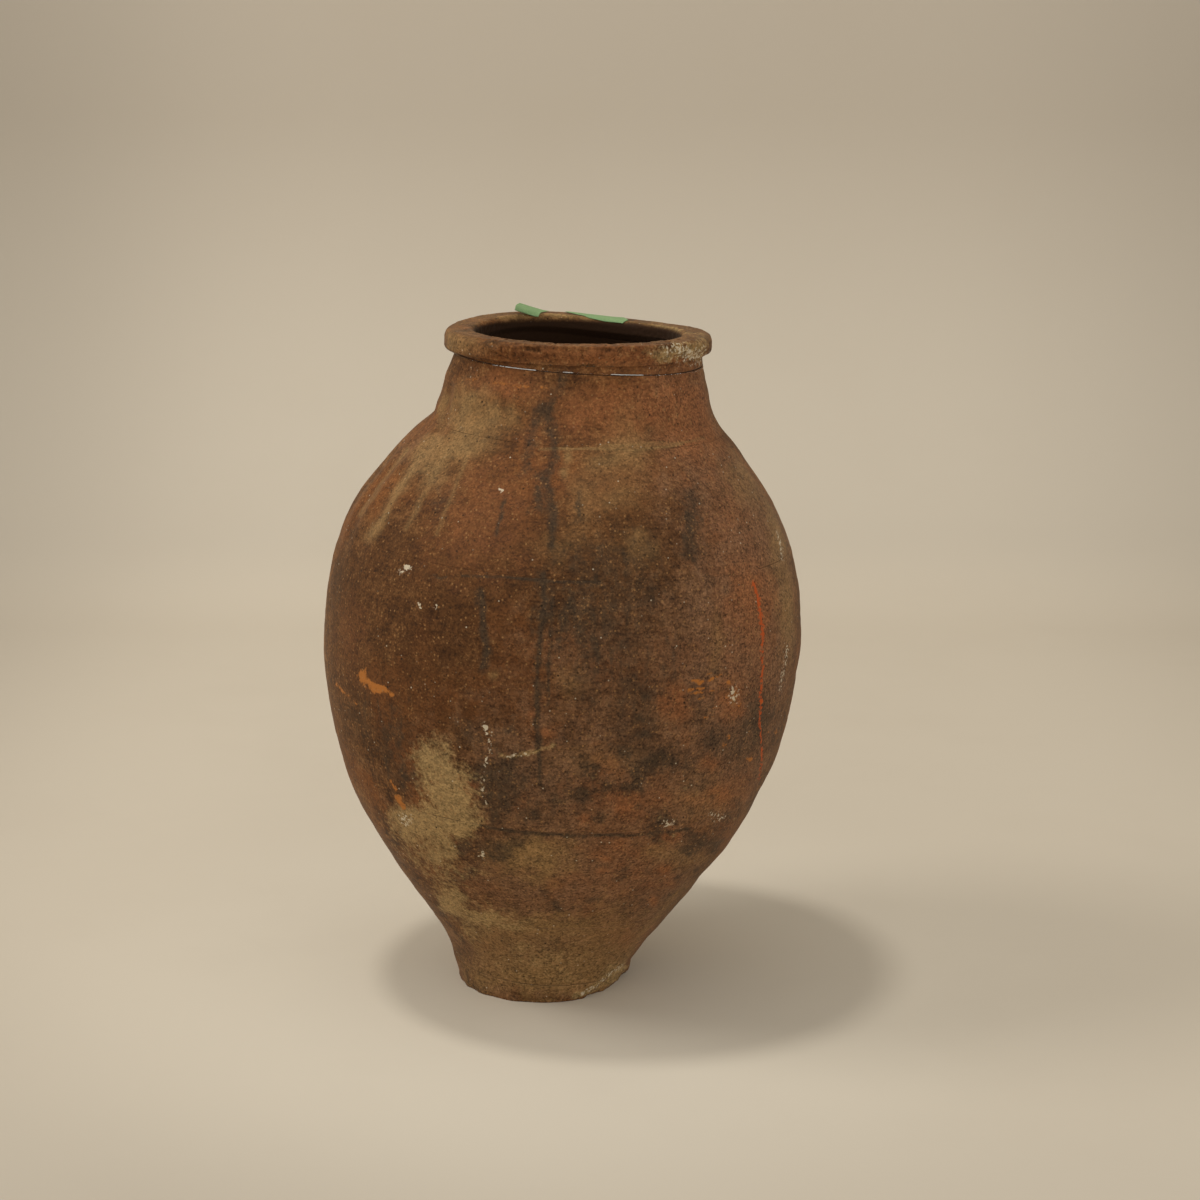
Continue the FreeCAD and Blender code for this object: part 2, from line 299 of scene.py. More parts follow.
SOOT_AND_PAINTED_SHADE = [
    *strewn(1, 40, (635, 785), (85, 42), (4, 12), 0.75),
    *strewn(2, 12, (690, 845), (34, 14), (4, 10), 0.6),
    *strewn(3, 20, (520, 790), (30, 36), (4, 10), 0.6),
    *strewn(8, 14, (560, 900), (50, 24), (4, 9), 0.5),
    # The spot at 338, 560 is painted shade, darkening the left edge
    (395, 735, 20, 40, 0.62), (580, 790, 60, 34, 0.42), (338, 560, 10, 60, 0.4), (735, 815, 14, 10, 0.6),
    (720, 838, 12, 8, 0.4), (536, 505, 15, 12, 0.55), (540, 612, 9, 12, 0.5), (575, 620, 42, 38, 0.5),
    (640, 690, 60, 55, 0.4), (600, 560, 60, 40, 0.4), (498, 780, 24, 26, 0.7), (470, 735, 16, 16, 0.55),
    (409, 780, 16, 20, 0.6), (690, 760, 60, 40, 0.25), (500, 854, 18, 12, 0.75), (462, 846, 18, 10, 0.7),
    (510, 800, 24, 28, 0.5), (762, 715, 14, 30, 0.55), (738, 745, 20, 22, 0.5), (460, 875, 20, 12, 0.5),
    (360, 720, 20, 50, 0.35), (600, 620, 40, 60, 0.35), (755, 725, 14, 30, 0.5), (440, 500, 16, 26, 0.4),
    (700, 845, 40, 14, 0.3), (650, 590, 20, 40, 0.4),
    ([(561, 374), (557, 388), (551, 402), (545, 411)], 10, 0.52),
    ([(541, 411), (533, 428), (528, 450), (525, 472)], 7, 0.58),
    ([(549, 414), (553, 434), (552, 458), (548, 478)], 8, 0.64),
    ([(540, 474), (548, 490), (553, 512), (551, 545)], 6, 0.68), ([(538, 488), (537, 500)], 4, 0.7),
    ([(505, 500), (500, 518), (496, 535)], 3, 0.75), ([(579, 495), (580, 520)], 4, 0.65),
    ([(544, 575), (545, 600), (540, 640), (537, 680), (537, 730), (541, 785)], 3.2, 0.85),
    ([(552, 598), (551, 630), (549, 665), (548, 705)], 2.2, 0.7),
    ([(480, 593), (482, 630), (487, 648), (482, 668)], 6, 0.78),
    ([(692, 495), (690, 525), (693, 550)], 11, 0.7),
    ([(470, 823), (500, 830), (540, 834), (580, 836), (640, 835), (690, 829)], 1.8, 0.9),
    ([(462, 575), (500, 577), (545, 581), (600, 582)], 1.5, 0.85),
    ([(433, 575), (440, 579), (447, 577)], 1.3, 0.8), ([(654, 762), (646, 775), (636, 784)], 5, 0.75),
    ([(467, 970), (468, 986)], 1.6, 0.7), ([(474, 986), (486, 992)], 4, 0.6),
    ([(621, 966), (620, 980)], 1.6, 0.7),
]

# Buff earth, and painted light: the lit top of the rim, pale sheen strokes along the flutes of the left
# shoulder, the lit right edge, the pale middle of the blister, and the lower body and foot lit from the
# floor
BUFF_AND_PAINTED_LIGHT = [
    (466, 402, 24, 20, 0.8), (470, 428, 26, 16, 0.8), (456, 448, 34, 12, 0.85), (440, 402, 5, 20, 0.6),
    (492, 410, 10, 16, 0.6), (632, 456, 24, 20, 0.6), (628, 425, 20, 24, 0.4), (640, 545, 22, 18, 0.5),
    (567, 456, 5, 8, 0.75), (565, 473, 5, 6, 0.7), (580, 500, 14, 30, 0.4), (620, 495, 36, 18, 0.45),
    (560, 545, 30, 16, 0.35), (748, 470, 24, 44, 0.55), (776, 545, 12, 50, 0.55), (716, 645, 8, 40, 0.45),
    (734, 699, 4, 8, 0.6), (570, 680, 18, 30, 0.4), (493, 675, 7, 7, 0.6), (535, 860, 40, 22, 0.9),
    (545, 925, 56, 12, 0.6), (540, 950, 50, 30, 0.45), (490, 950, 30, 40, 0.5), (610, 930, 40, 40, 0.4),
    (545, 980, 80, 20, 0.8), (600, 960, 40, 26, 0.55), (600, 760, 60, 20, 0.35), (700, 800, 40, 30, 0.35),
    (690, 860, 36, 12, 0.45), (660, 850, 20, 10, 0.45), (430, 465, 24, 24, 0.65), (515, 415, 16, 16, 0.55),
    (787, 610, 9, 50, 0.75), (530, 850, 38, 14, 0.55), (600, 462, 22, 14, 0.55), (616, 975, 9, 10, 0.8),
    (690, 332, 18, 7, 0.9), (470, 347, 25, 10, 0.4), (640, 316, 60, 6, 0.5), (455, 340, 16, 12, 0.5),
    ([(430, 440), (405, 478), (388, 508), (368, 540)], 7, 0.5),
    ([(540, 449), (593, 448), (633, 450), (667, 447), (682, 444)], 1.4, 0.8),
    ([(600, 446), (649, 444), (684, 442), (704, 438)], 1.3, 0.65),
    ([(715, 402), (730, 425), (752, 455), (772, 495), (786, 545)], 7, 0.75),
    ([(640, 940), (655, 920), (690, 885)], 6, 0.6), ([(605, 985), (622, 972), (636, 952)], 8, 0.7),
    ([(424, 452), (398, 490), (372, 535)], 2.5, 0.6), ([(446, 452), (426, 490), (406, 530)], 3, 0.5),
    ([(408, 450), (384, 480), (360, 515)], 2.5, 0.6), ([(466, 460), (450, 500), (436, 535)], 2.5, 0.45),
    ([(452, 318), (446, 335), (448, 350)], 7, 0.6),
    ([(455, 322), (490, 315), (560, 312), (640, 318), (705, 334)], 6, 0.85),
]

LIME = [
    *strewn(6, 22, (680, 810), (45, 25), (1.5, 5), 0.5),
    *strewn(7, 20, (560, 780), (50, 34), (4, 10), 0.2),
    (432, 748, 22, 14, 0.6), (440, 768, 22, 18, 0.9), (450, 795, 24, 22, 1.0), (432, 822, 34, 16, 0.9),
    (464, 820, 18, 16, 0.75), (400, 812, 12, 10, 0.75), (442, 850, 20, 18, 0.7), (445, 882, 22, 10, 0.45),
    (408, 832, 22, 18, 0.6), (430, 860, 24, 14, 0.5), (478, 868, 14, 12, 0.35), (452, 904, 18, 14, 0.9),
    (482, 918, 24, 12, 0.8), (520, 924, 24, 8, 0.5), (470, 935, 14, 10, 0.5), (613, 980, 8, 6, 0.7),
    (545, 962, 60, 26, 0.42), (614, 975, 10, 10, 0.8), (684, 353, 26, 10, 0.85), (702, 346, 7, 8, 0.6),
    (662, 353, 12, 8, 0.6), (640, 352, 30, 8, 0.35), (660, 405, 50, 24, 0.22),
    ([(545, 314), (600, 313), (660, 320), (700, 332)], 4, 0.5),
    ([(500, 755), (515, 756), (535, 751), (554, 745)], 3.0, 0.6),
    ([(575, 996), (593, 989), (610, 977), (621, 970), (634, 956)], 3.4, 0.95),
    ([(655, 323), (680, 328), (700, 335)], 5, 0.7),
]

RED = [
    *strewn(4, 34, (650, 800), (70, 45), (4, 14), 0.9),
    *strewn(5, 14, (600, 870), (60, 20), (5, 14), 0.6),
    (640, 405, 70, 30, 0.85), (590, 415, 40, 24, 0.75), (690, 395, 30, 40, 0.5), (690, 440, 40, 36, 0.7),
    (500, 385, 50, 16, 0.6), (600, 480, 90, 30, 0.4), (480, 500, 50, 40, 0.45), (480, 550, 60, 40, 0.4),
    (672, 705, 16, 22, 0.9), (678, 700, 12, 18, 0.8), (730, 699, 15, 21, 1.0), (742, 592, 26, 34, 0.6),
    (765, 610, 18, 80, 0.5), (625, 940, 34, 14, 0.6), (752, 595, 16, 24, 0.6), (745, 790, 22, 34, 0.5),
    (630, 870, 40, 30, 0.5), (610, 800, 50, 30, 0.4), (540, 430, 20, 30, 0.3), (350, 640, 20, 50, 0.35),
    (600, 356, 110, 12, 0.85), (728, 520, 28, 40, 0.5), (735, 645, 30, 50, 0.4),
]

# Brown tone, and painted shade: the dark line in the neck's left crease, dark strokes between the flutes of
# the left shoulder, and darkening along the left edge
BROWN_AND_PAINTED_SHADE = [
    (450, 630, 70, 70, 0.8), (420, 700, 60, 50, 0.7), (400, 560, 70, 40, 0.6), (350, 620, 24, 80, 0.65),
    (500, 560, 60, 60, 0.6), (445, 545, 50, 36, 0.4), (430, 655, 70, 50, 0.4), (520, 690, 50, 50, 0.6),
    (600, 600, 60, 60, 0.5), (660, 520, 50, 40, 0.6), (610, 700, 70, 50, 0.45), (494, 388, 7, 6, 0.7),
    (500, 512, 50, 30, 0.6), (692, 522, 40, 46, 0.6), (472, 965, 12, 20, 0.6), (520, 945, 40, 12, 0.45),
    ([(449, 386), (445, 408), (439, 430)], 4, 0.75), ([(430, 450), (400, 490), (375, 530)], 6, 0.5),
    ([(505, 396), (497, 420), (485, 448)], 3, 0.5),
]

# Dust, and painted light: lighter patches on the lower body, the foot and the right side stand in for light
# bounced from the floor and falling from the right
DUST_AND_PAINTED_LIGHT = [
    (560, 780, 130, 70, 0.8), (735, 630, 34, 60, 0.8), (700, 620, 50, 60, 0.35), (570, 880, 120, 50, 0.85),
    (600, 660, 90, 60, 0.5), (745, 560, 50, 120, 0.8), (720, 700, 60, 80, 0.7), (560, 965, 110, 40, 1.0),
    (660, 900, 50, 60, 0.6), (700, 470, 50, 50, 0.6), (770, 620, 30, 90, 0.8), (740, 760, 40, 60, 0.6),
    (690, 800, 60, 50, 0.6), (420, 450, 30, 30, 0.5), (685, 400, 40, 40, 0.8),
]

ORANGE = [
    *strewn(10, 16, (748, 725), (18, 40), (1.5, 3.5), 0.75),
    (361, 673, 6, 5, 0.85), (738, 706, 4, 5, 0.6), (700, 755, 60, 30, 0.13), (600, 800, 70, 30, 0.10),
    ([(688, 690), (704, 688)], 2.0, 0.8), ([(692, 681), (703, 680)], 1.6, 0.7),
    ([(697, 699), (706, 697)], 1.5, 0.65), ([(364, 680), (372, 687), (378, 691)], 5, 0.85),
    ([(377, 689), (386, 690), (391, 694)], 3, 0.85), ([(336, 684), (345, 694), (357, 704)], 1.6, 0.6),
    ([(391, 781), (396, 789)], 2.0, 0.8), ([(397, 796), (404, 807)], 2.6, 0.9),
    ([(698, 684), (712, 679), (722, 674)], 1.8, 0.65), ([(692, 693), (715, 690)], 1.6, 0.6),
    ([(705, 718), (715, 717)], 1.4, 0.55), ([(462, 379), (480, 381), (505, 384), (548, 388)], 2.2, 0.42),
]

DRIP = [
    ([(754, 584), (757, 594), (759, 606), (761, 618), (763, 634)], 1.9, 0.9),
    ([(763, 634), (762, 652), (763, 668), (761, 684), (761, 700)], 1.5, 0.75),
    ([(762, 700), (759, 720), (762, 745), (762, 757), (759, 780)], 1.2, 0.65),
]

# Chalk, and painted highlights: the pale spot on the blister at 733, 695 and the pale stroke along the
# right shoulder's edge at 777 to 783
WHITE_AND_HIGHLIGHTS = [
    (407.5, 568.5, 3.4, 3.2, 1.0), (400.5, 572, 3, 1.6, 0.8), (485.5, 727, 2.4, 4, 0.5),
    (733, 695, 4.5, 9, 0.5), (501, 490, 2.4, 1.8, 0.85), (718, 815, 9, 5, 0.34), (668, 822, 8, 4, 0.34),
    (406, 820, 5, 6, 0.5), (687, 353, 22, 9, 0.5), (482, 856, 4, 4, 0.55),
    ([(419, 603), (421, 609)], 1.4, 0.8), ([(434, 603), (436, 607)], 1.3, 0.55),
    ([(485, 724), (487, 732), (490, 740), (492, 752)], 2.2, 0.5),
    ([(487, 758), (484, 772), (482, 790), (485, 804)], 2.0, 0.26),
    ([(508, 756), (520, 755), (535, 751)], 2.0, 0.3), ([(788, 645), (784, 668), (780, 692)], 1.6, 0.36),
    ([(581, 994), (597, 985), (611, 973), (623, 965)], 1.8, 0.42),
    ([(777, 532), (781, 545), (783, 560)], 2.0, 0.3),
]

CHANNELS = {
    "soot": SOOT_AND_PAINTED_SHADE,
    "buff": BUFF_AND_PAINTED_LIGHT,
    "lime": LIME,
    "red": RED,
    "brown": BROWN_AND_PAINTED_SHADE,
    "dust": DUST_AND_PAINTED_LIGHT,
    "orange": ORANGE,
    "drip": DRIP,
    "white": WHITE_AND_HIGHLIGHTS,
}


# Relief of the clay

ROUND = (cad_high.y - cad_low.y) / 2
WOBBLE = 0.9 * MM
WOBBLE_SIZE = 150 * MM

# Dents and swellings of the wall: azimuth, level, change of radius, and spreads of azimuth and level,
# in degrees and mm
DENTS = [
    (180, 385, 1.8, 35, 45),
    (180, 228, 2.5, 35, 28),
    (180, 570, 1.8, 35, 25),
    (180, 672, -5.0, 30, 13),
    (180, 715, 2.0, 40, 20),
    (0, 545, -1.4, 35, 45),
    (0, 435, 1.9, 35, 22),
    (0, 260, -3.0, 30, 22),
    (0, 190, 1.8, 30, 10),
    (0, 155, -3.0, 30, 14),
    (0, 85, 2.2, 35, 20),
    (0, 32, -2.4, 35, 10),
    (0, 655, 2.3, 35, 14),
    (180, 15, 2.4, 35, 16),
]

FLUTE_DEPTH = 1.5 * MM
FLUTES = 34
FLUTE_SWAY = 2
FLUTE_AZIMUTH = -155
FLUTE_SPREAD = 26
FLUTE_LEVEL = 610 * MM
FLUTE_RISE = 70 * MM

RING_DEPTH = 0.28 * MM
RING_SIZE = 6 * MM
BAND_DEPTH = 0.5 * MM
BAND_SIZE = 16 * MM
RING_STRETCH = np.array((0.08, 0.08, 1.0))

PITS = 420
PIT_RADII = (1.8 * MM, 5.0 * MM)
PIT_DEPTHS = (0.2 * MM, 1.0 * MM)
PIT_REACH = 3
PIT_SEED = 17

GROOVE_WIDTH = 1.7 * MM
GROOVE_DEPTH = 0.5 * MM
JOINT_OPEN_SHARES = (0.1, 0.25, 0.6, 0.5, 0.35, 0.3)
GROOVE_BREAK_SIZE = 40 * MM
NEAR_STEP = (-0.05, 0.1)

# Gouges, in the form of the stains, with their depths in mm
GOUGES = [
    ([(654, 762), (646, 775), (636, 784)], 5, 1.6),
    ([(500, 833), (560, 835), (620, 835), (690, 829)], 2, 1.4),
    ([(450, 386), (446, 408), (440, 430)], 5, 3.2),
    ([(440, 390), (437, 408), (432, 428)], 5, -1.2),
    ([(433, 574), (440, 578), (448, 577)], 2, 1.5),
    (735, 700, 8, 14, -1.0),
]


def turn_between(azimuth, middle_deg):
    """The turn from a direction to each azimuth, in degrees, the short way round."""
    return (np.degrees(azimuth) - middle_deg + 180) % 360 - 180


def pits():
    """Azimuth, level, radius and depth of small pits, spread over the wall by a fixed draw."""
    draw = np.random.default_rng(PIT_SEED)
    azimuths = draw.uniform(-math.pi, math.pi, PITS)
    levels = draw.uniform(0, PROFILE["outer joints"][-1], PITS)
    small = draw.uniform(0, 1, PITS) ** 2
    radii = PIT_RADII[0] + small * (PIT_RADII[1] - PIT_RADII[0])
    depths = PIT_DEPTHS[0] + draw.uniform(0, 1, PITS) * small * (PIT_DEPTHS[1] - PIT_DEPTHS[0])
    return zip(azimuths, levels, radii, depths)


def round_place(azimuth, level):
    """Places on a cylinder round the jar, where its random fields are read."""
    return np.stack([ROUND * np.cos(azimuth), ROUND * np.sin(azimuth), level], axis=-1)


def swell(azimuth, level):
    """How far the hand-raised wall stands out from an even turning."""
    azimuth, level = np.broadcast_arrays(azimuth, level)
    place = round_place(azimuth, level)
    out = WOBBLE * rough(place, WOBBLE_SIZE, 11, 2)
    for middle_deg, middle, change, spread_deg, spread in DENTS:
        share = bell(turn_between(azimuth, middle_deg) / spread_deg)
        out = out + change * MM * share * bell((level - middle * MM) / (spread * MM))
    fluted = bell(turn_between(azimuth, FLUTE_AZIMUTH) / FLUTE_SPREAD)
    fluted = fluted * bell((level - FLUTE_LEVEL) / FLUTE_RISE)
    sway = FLUTE_SWAY * noise(place, WOBBLE_SIZE, 23)
    out = out + FLUTE_DEPTH * fluted * np.sin(FLUTES * azimuth + sway)
    out = out + RING_DEPTH * noise(place * RING_STRETCH, RING_SIZE, 31)
    out = out + BAND_DEPTH * noise(place * RING_STRETCH, BAND_SIZE, 37)
    for middle, middle_level, radius, depth in pits():
        rows = np.abs(level[0] - middle_level) < PIT_REACH * radius
        if rows.any():
            turn = np.radians(turn_between(azimuth[:, rows], math.degrees(middle)))
            gap = np.hypot(outer_radius(middle_level) * turn, level[:, rows] - middle_level)
            out[:, rows] -= depth * bell(gap / radius)
    broken = 0.5 + 0.5 * rough(place, GROOVE_BREAK_SIZE, 41, 2)
    for joint, share in zip(PROFILE["outer joints"], JOINT_OPEN_SHARES):
        out = out - GROOVE_DEPTH * share * broken * bell((level - joint) / GROOVE_WIDTH)
    across, down = pixels(from_jar(outer_radius(level), azimuth, level))
    near_side = smooth(*NEAR_STEP, -np.sin(azimuth))
    for *mark, depth in GOUGES:
        out = out - depth * MM * covered(across, down, mark) * near_side
    return out


# Meshes

NEAR_SHARE = 0.64


def columns(count):
    """Azimuths round the axis, closer together on the side that the photograph shows."""
    near = int(count * NEAR_SHARE)
    front = np.linspace(-math.pi, 0, near, endpoint=False)
    back = np.linspace(0, math.pi, count - near, endpoint=False)
    return np.concatenate([front, back])


def quads(grid):
    """The four corners of each square of a grid, in order round it."""
    return np.stack([grid[:-1, :-1], grid[1:, :-1], grid[1:, 1:], grid[:-1, 1:]], axis=2)


def laid(first, second):
    """A grid of places in a layout for baking."""
    return np.stack(np.meshgrid(first, second, indexing="ij"), axis=-1)


def running(lengths):
    """How far along a line each of its points lies, from the lengths between them."""
    return np.concatenate([[0], np.cumsum(lengths)])


def ring_piece(name, points, loop_lengths, material):
    """A closed ring of quads from a grid of points: once round the axis by once round the section."""
    count, rows = points.shape[:2]
    index = np.pad(np.arange(count * rows).reshape(count, rows), (0, 1), "wrap")
    along = running(loop_lengths)
    layout = laid(np.linspace(0, 1, count + 1), along / along[-1])
    return solid_piece(name, points.reshape(-1, 3), [quads(index)], [quads(layout)], material)


def capped_piece(name, grid, ends, margin_share, material):
    """A closed skin from a grid of points, round it by along it, with a middle point at each end."""
    count, rows = grid.shape[:2]
    index = np.pad(np.arange(count * rows).reshape(count, rows), ((0, 1), (0, 0)), "wrap")
    layout = laid(np.linspace(0, 1, count + 1), np.linspace(margin_share, 1 - margin_share, rows))
    faces = [quads(index)]
    layouts = [quads(layout)]
    for end, row, sides in ((0, 0, (1, 0)), (1, -1, (0, 1))):
        edge = np.stack([index[:-1, row], index[1:, row]], axis=1)[:, sides]
        faces.append(np.column_stack([np.full(count, count * rows + end), edge]))
        strip = np.stack([layout[:-1, row], layout[1:, row]], axis=1)[:, sides]
        peak = strip.mean(axis=1, keepdims=True)
        peak[..., 1] = end
        layouts.append(np.concatenate([peak, strip], axis=1))
    return solid_piece(name, np.vstack([grid.reshape(-1, 3), *ends]), faces, layouts, material)


def placed(name, data):
    """A new object in the scene."""
    made = bpy.data.objects.new(name, data)
    bpy.context.scene.collection.objects.link(made)
    return made


def solid_piece(name, vertices, faces, layouts, material):
    """A mesh object with smooth faces that look outwards, and its layout for baking."""
    rows = [face for part in faces for face in part.reshape(-1, part.shape[-1]).tolist()]
    layout = np.concatenate([part.ravel() for part in layouts])
    mesh = bpy.data.meshes.new(name)
    mesh.from_pydata(vertices.tolist(), [], rows)
    mesh.uv_layers.new(name="OFBake")
    mesh.uv_layers["OFBake"].data.foreach_set("uv", layout.astype(np.float32))
    if signed_volume(mesh) < 0:
        mesh.flip_normals()
    mesh.polygons.foreach_set("use_smooth", np.ones(len(mesh.polygons), bool))
    mesh.materials.append(material)
    mesh.update()
    return placed(name, mesh)


def read(rows, field, kind=float):
    """A field of three numbers of each of a mesh's rows."""
    flat = np.zeros(len(rows) * 3, kind)
    rows.foreach_get(field, flat)
    return flat.reshape(-1, 3)


def signed_volume(mesh):
    mesh.calc_loop_triangles()
    corners = read(mesh.loop_triangles, "vertices", np.int32)
    a, b, c = read(mesh.vertices, "co")[corners].transpose(1, 0, 2)
    return float(np.sum(a * np.cross(b, c)))


def joined(piece, node):
    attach(piece, "root")
    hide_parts(node)


# Stains, with painted light and shade among them, that are repeated, weaker, on the side that the
# photograph doesn't show
FAR_CHANNELS = ("soot", "buff", "lime", "red", "brown", "dust")
FAR_SHARE = 0.85
FAR_TURN = np.array((-1, -1, 1))
CHANNEL_SEEDS = 100
FAR_SEED = 7
# Fades of the soot and painted shade on the inner wall
WALL_FADE = 4 * MM
OUTER_SHELL = 8 * MM
CREST_FADES = (2 * MM, 8 * MM)
SHARP_FADES = (1 * MM, 6 * MM)
SHARP_STEP = (0.3, 0.9)


def inside_shade_share(places):
    """Where the inner wall is darkened by soot and painted shade: 1 on its inner face, fading out below the
    rim's crest.
    """
    radius, azimuth, level = to_jar(places)
    crest = PROFILE["inner"][-1, 0] + CORE_RADIUS * np.cos(azimuth) * math.sin(LIP_TILT)
    middle = (outer_radius(level) + inner_radius(level)) / 2
    middle = np.minimum(middle, outer_radius(level) - OUTER_SHELL)
    drop = crest - level
    sharp = smooth(*SHARP_STEP, -np.cos(azimuth))
    deep = sharp * smooth(*SHARP_FADES, drop) + (1 - sharp) * smooth(*CREST_FADES, drop)
    return smooth(0, WALL_FADE, middle - radius) * deep


def paint(piece):
    """Stores on each vertex how much each kind of stain, painted light and painted shade covers it, and how
    far the inner wall is darkened.
    """
    mesh = piece.data
    places = read(mesh.vertices, "co")
    normals = read(mesh.vertex_normals, "vector")
    seen = seen_share(places, normals)
    hidden = FAR_SHARE * seen_share(places * FAR_TURN, normals * FAR_TURN)
    near = pixels(places)
    far = pixels(places * FAR_TURN)
    for number, (channel, marks) in enumerate(CHANNELS.items()):
        seed = CHANNEL_SEEDS * number
        cover = seen * marked(places, *near, marks, seed)
        if channel in FAR_CHANNELS:
            cover = np.maximum(cover, hidden * marked(places, *far, marks, seed + FAR_SEED))
        store(mesh, channel, cover)
    # Stores the soot and painted shade of the inner wall
    store(mesh, "inside", inside_shade_share(places))


def store(mesh, channel, cover):
    layer = mesh.attributes.new(channel, "FLOAT", "POINT")
    layer.data.foreach_set("value", cover.astype(np.float32))


# Clay pieces

WALL_SPACING = 2.5 * MM
INNER_SPACING = 20 * MM
EDGE_STEPS = np.array((0.6, 1.3, 2.2)) * MM
HALF_SLIP = 0.5 * MM
EDGE_INSET = 1.3 * MM
OPEN_EDGE = 0.35 * MM
SHUT_EDGE = 0.02 * MM
EDGE_BREAK_SIZE = 60 * MM
EDGE_BREAK_STEP = (0.1, 0.8)
CLIMB_SAMPLES = 400
JOINT_FACE_ROWS = 3
COLUMNS = dict(zip(COURSES, (460, 660, 700, 680, 480)))


def climb(low, high, spacing):
    """Levels from low to high, evenly spaced along the outside of the wall."""
    fine = np.linspace(low, high, CLIMB_SAMPLES)
    run = running(np.hypot(np.diff(fine), np.diff(outer_radius(fine))))
    count = max(2, round(run[-1] / spacing))
    return np.interp(np.linspace(0, run[-1], count + 1), run, fine)


def joint_rows(outer_level, inner_level, offset):
    """Rows across a joint's face: radius, level, and the share of the outside's relief, outside first."""
    start = np.array((outer_radius(outer_level), outer_level + offset))
    end = np.array((inner_radius(inner_level), inner_level + offset))
    run = np.linalg.norm(end - start)
    shares = np.concatenate([[EDGE_INSET / run], np.linspace(0, 1, JOINT_FACE_ROWS + 2)[1:-1]])
    return [(*(start + share * (end - start)), 1 - share, 0) for share in shares]


def course_rows(outer_low, outer_high, inner_low, inner_high):
    """Rows round a course's section: radius, level, share of the outside's relief, and which edge it is."""
    low = outer_low + EDGE_STEPS
    high = outer_high - EDGE_STEPS[::-1]
    levels = np.concatenate([low[:-1], climb(low[-1], high[0], WALL_SPACING), high[1:]])
    rows = [(outer_radius(outer_low), outer_low, 1, -1)]
    rows += [(outer_radius(level), level, 1, 0) for level in levels]
    rows += [(outer_radius(outer_high), outer_high, 1, 1)]
    rows += joint_rows(outer_high, inner_high, -HALF_SLIP)
    count = round((inner_high - inner_low) / INNER_SPACING)
    inside = np.linspace(inner_high - HALF_SLIP, inner_low + HALF_SLIP, count)
    rows += [(inner_radius(level), level, 0, 0) for level in inside]
    rows += joint_rows(outer_low, inner_low, HALF_SLIP)[::-1]
    return np.array(rows)


def edge_gap(azimuth, level):
    """Half the width of a joint's open edge, which is smeared shut in most places."""
    azimuth, level = np.broadcast_arrays(azimuth, level)
    open_share = np.interp(level, PROFILE["outer joints"], JOINT_OPEN_SHARES)
    torn = smooth(*EDGE_BREAK_STEP, rough(round_place(azimuth, level), EDGE_BREAK_SIZE, 61, 2))
    return SHUT_EDGE + OPEN_EDGE * open_share * torn


def section_lengths(loop):
    """Lengths of the sides of a closed loop of points."""
    return np.linalg.norm(np.diff(np.vstack([loop, loop[:1]]), axis=0), axis=1)


def course_piece(name, material):
    """The visible form of one raised course."""
    below = COURSES.index(name)
    ends = slice(below, below + 2)
    rows = course_rows(*PROFILE["outer joints"][ends], *PROFILE["inner joints"][ends])
    azimuth = columns(COLUMNS[name])[:, None]
    radius, level, share, edge = rows.T[:, None, :]
    level = level - edge * edge_gap(azimuth, level)
    radius = radius + share * swell(azimuth, level)
    points = from_jar(radius, azimuth, level)
    return ring_piece(name + "_clay", points, section_lengths(rows[:, :2]), material)


RIM_COLUMNS = 620
RIM_ROWS = 112
CORE_RADIUS = 134 * MM
CORE_RISE = 15 * MM

# Azimuth, change of level in mm and spread in degrees of the rim's twist
RIM_TWIST = [(60, -3.5, 40), (118, 3.5, 30), (180, -1.0, 35)]


def rim_points():
    """The CAD rim as a grid of points with their outward normals, round the axis by round the section."""
    tree, _ = search_tree(["rim_roll"])
    azimuths = columns(RIM_COLUMNS)
    turns = np.linspace(0, 2 * math.pi, RIM_ROWS, endpoint=False)
    up = from_jar(0.0, 0.0, UNIT) - from_jar(0.0, 0.0, 0.0)
    points = np.zeros((RIM_COLUMNS, RIM_ROWS, 3))
    normals = np.zeros((RIM_COLUMNS, RIM_ROWS, 3))
    core_level = PROFILE["outer joints"][-1] + CORE_RISE
    for column, azimuth in enumerate(azimuths):
        core = CORE_RADIUS - LIP_SHIFT * math.cos(azimuth)
        level = core_level + CORE_RADIUS * math.cos(azimuth) * math.sin(LIP_TILT)
        middle = Vector(from_jar(core, azimuth, level))
        out = from_jar(UNIT, azimuth, 0.0) - from_jar(0.0, azimuth, 0.0)
        for row, turn in enumerate(turns):
            way = Vector(out * math.cos(turn) + up * math.sin(turn))
            hit, normal, _, _ = tree.ray_cast(middle, way)
            points[column, row] = hit
            normals[column, row] = normal
    return azimuths, points, normals


# Worn places of the rim, in the form of the stains
RIM_PITTED = [([(505, 352), (560, 356), (620, 358), (690, 354)], 12, 1.0), (495, 350, 12, 10, 0.6)]
RIM_WORN = [([(514, 360), (560, 364), (620, 366), (690, 360), (704, 354)], 15, 1.0)]
RIM_FRONT_STEP = (0.0, 0.3)
RIM_FREE_RISES = (1 * MM, 9 * MM)
RIM_WOBBLE_SIZE = 60 * MM
RIM_WOBBLE_SHARE = 0.6
WORN_SHARE = 0.85
WORN_DROPS = (8 * MM, 20 * MM)
ROUGH_DEPTH = 1.3 * MM
ROUGH_SIZE = 14 * MM
HOLLOW_DEPTH = 3.2 * MM
HOLLOW_SIZE = 6 * MM
GRAIN_DEPTH = 0.35 * MM
GRAIN_SIZE = 4 * MM
CALM_AZIMUTHS = (54, 62, 132, 140)
CALM_SHARE = 0.85


def twist_at(azimuth):
    """How far the rim's twist lifts it at an azimuth."""
    lift = 0
    for middle_deg, change, spread_deg in RIM_TWIST:
        lift = lift + change * MM * bell(turn_between(azimuth, middle_deg) / spread_deg)
    return lift


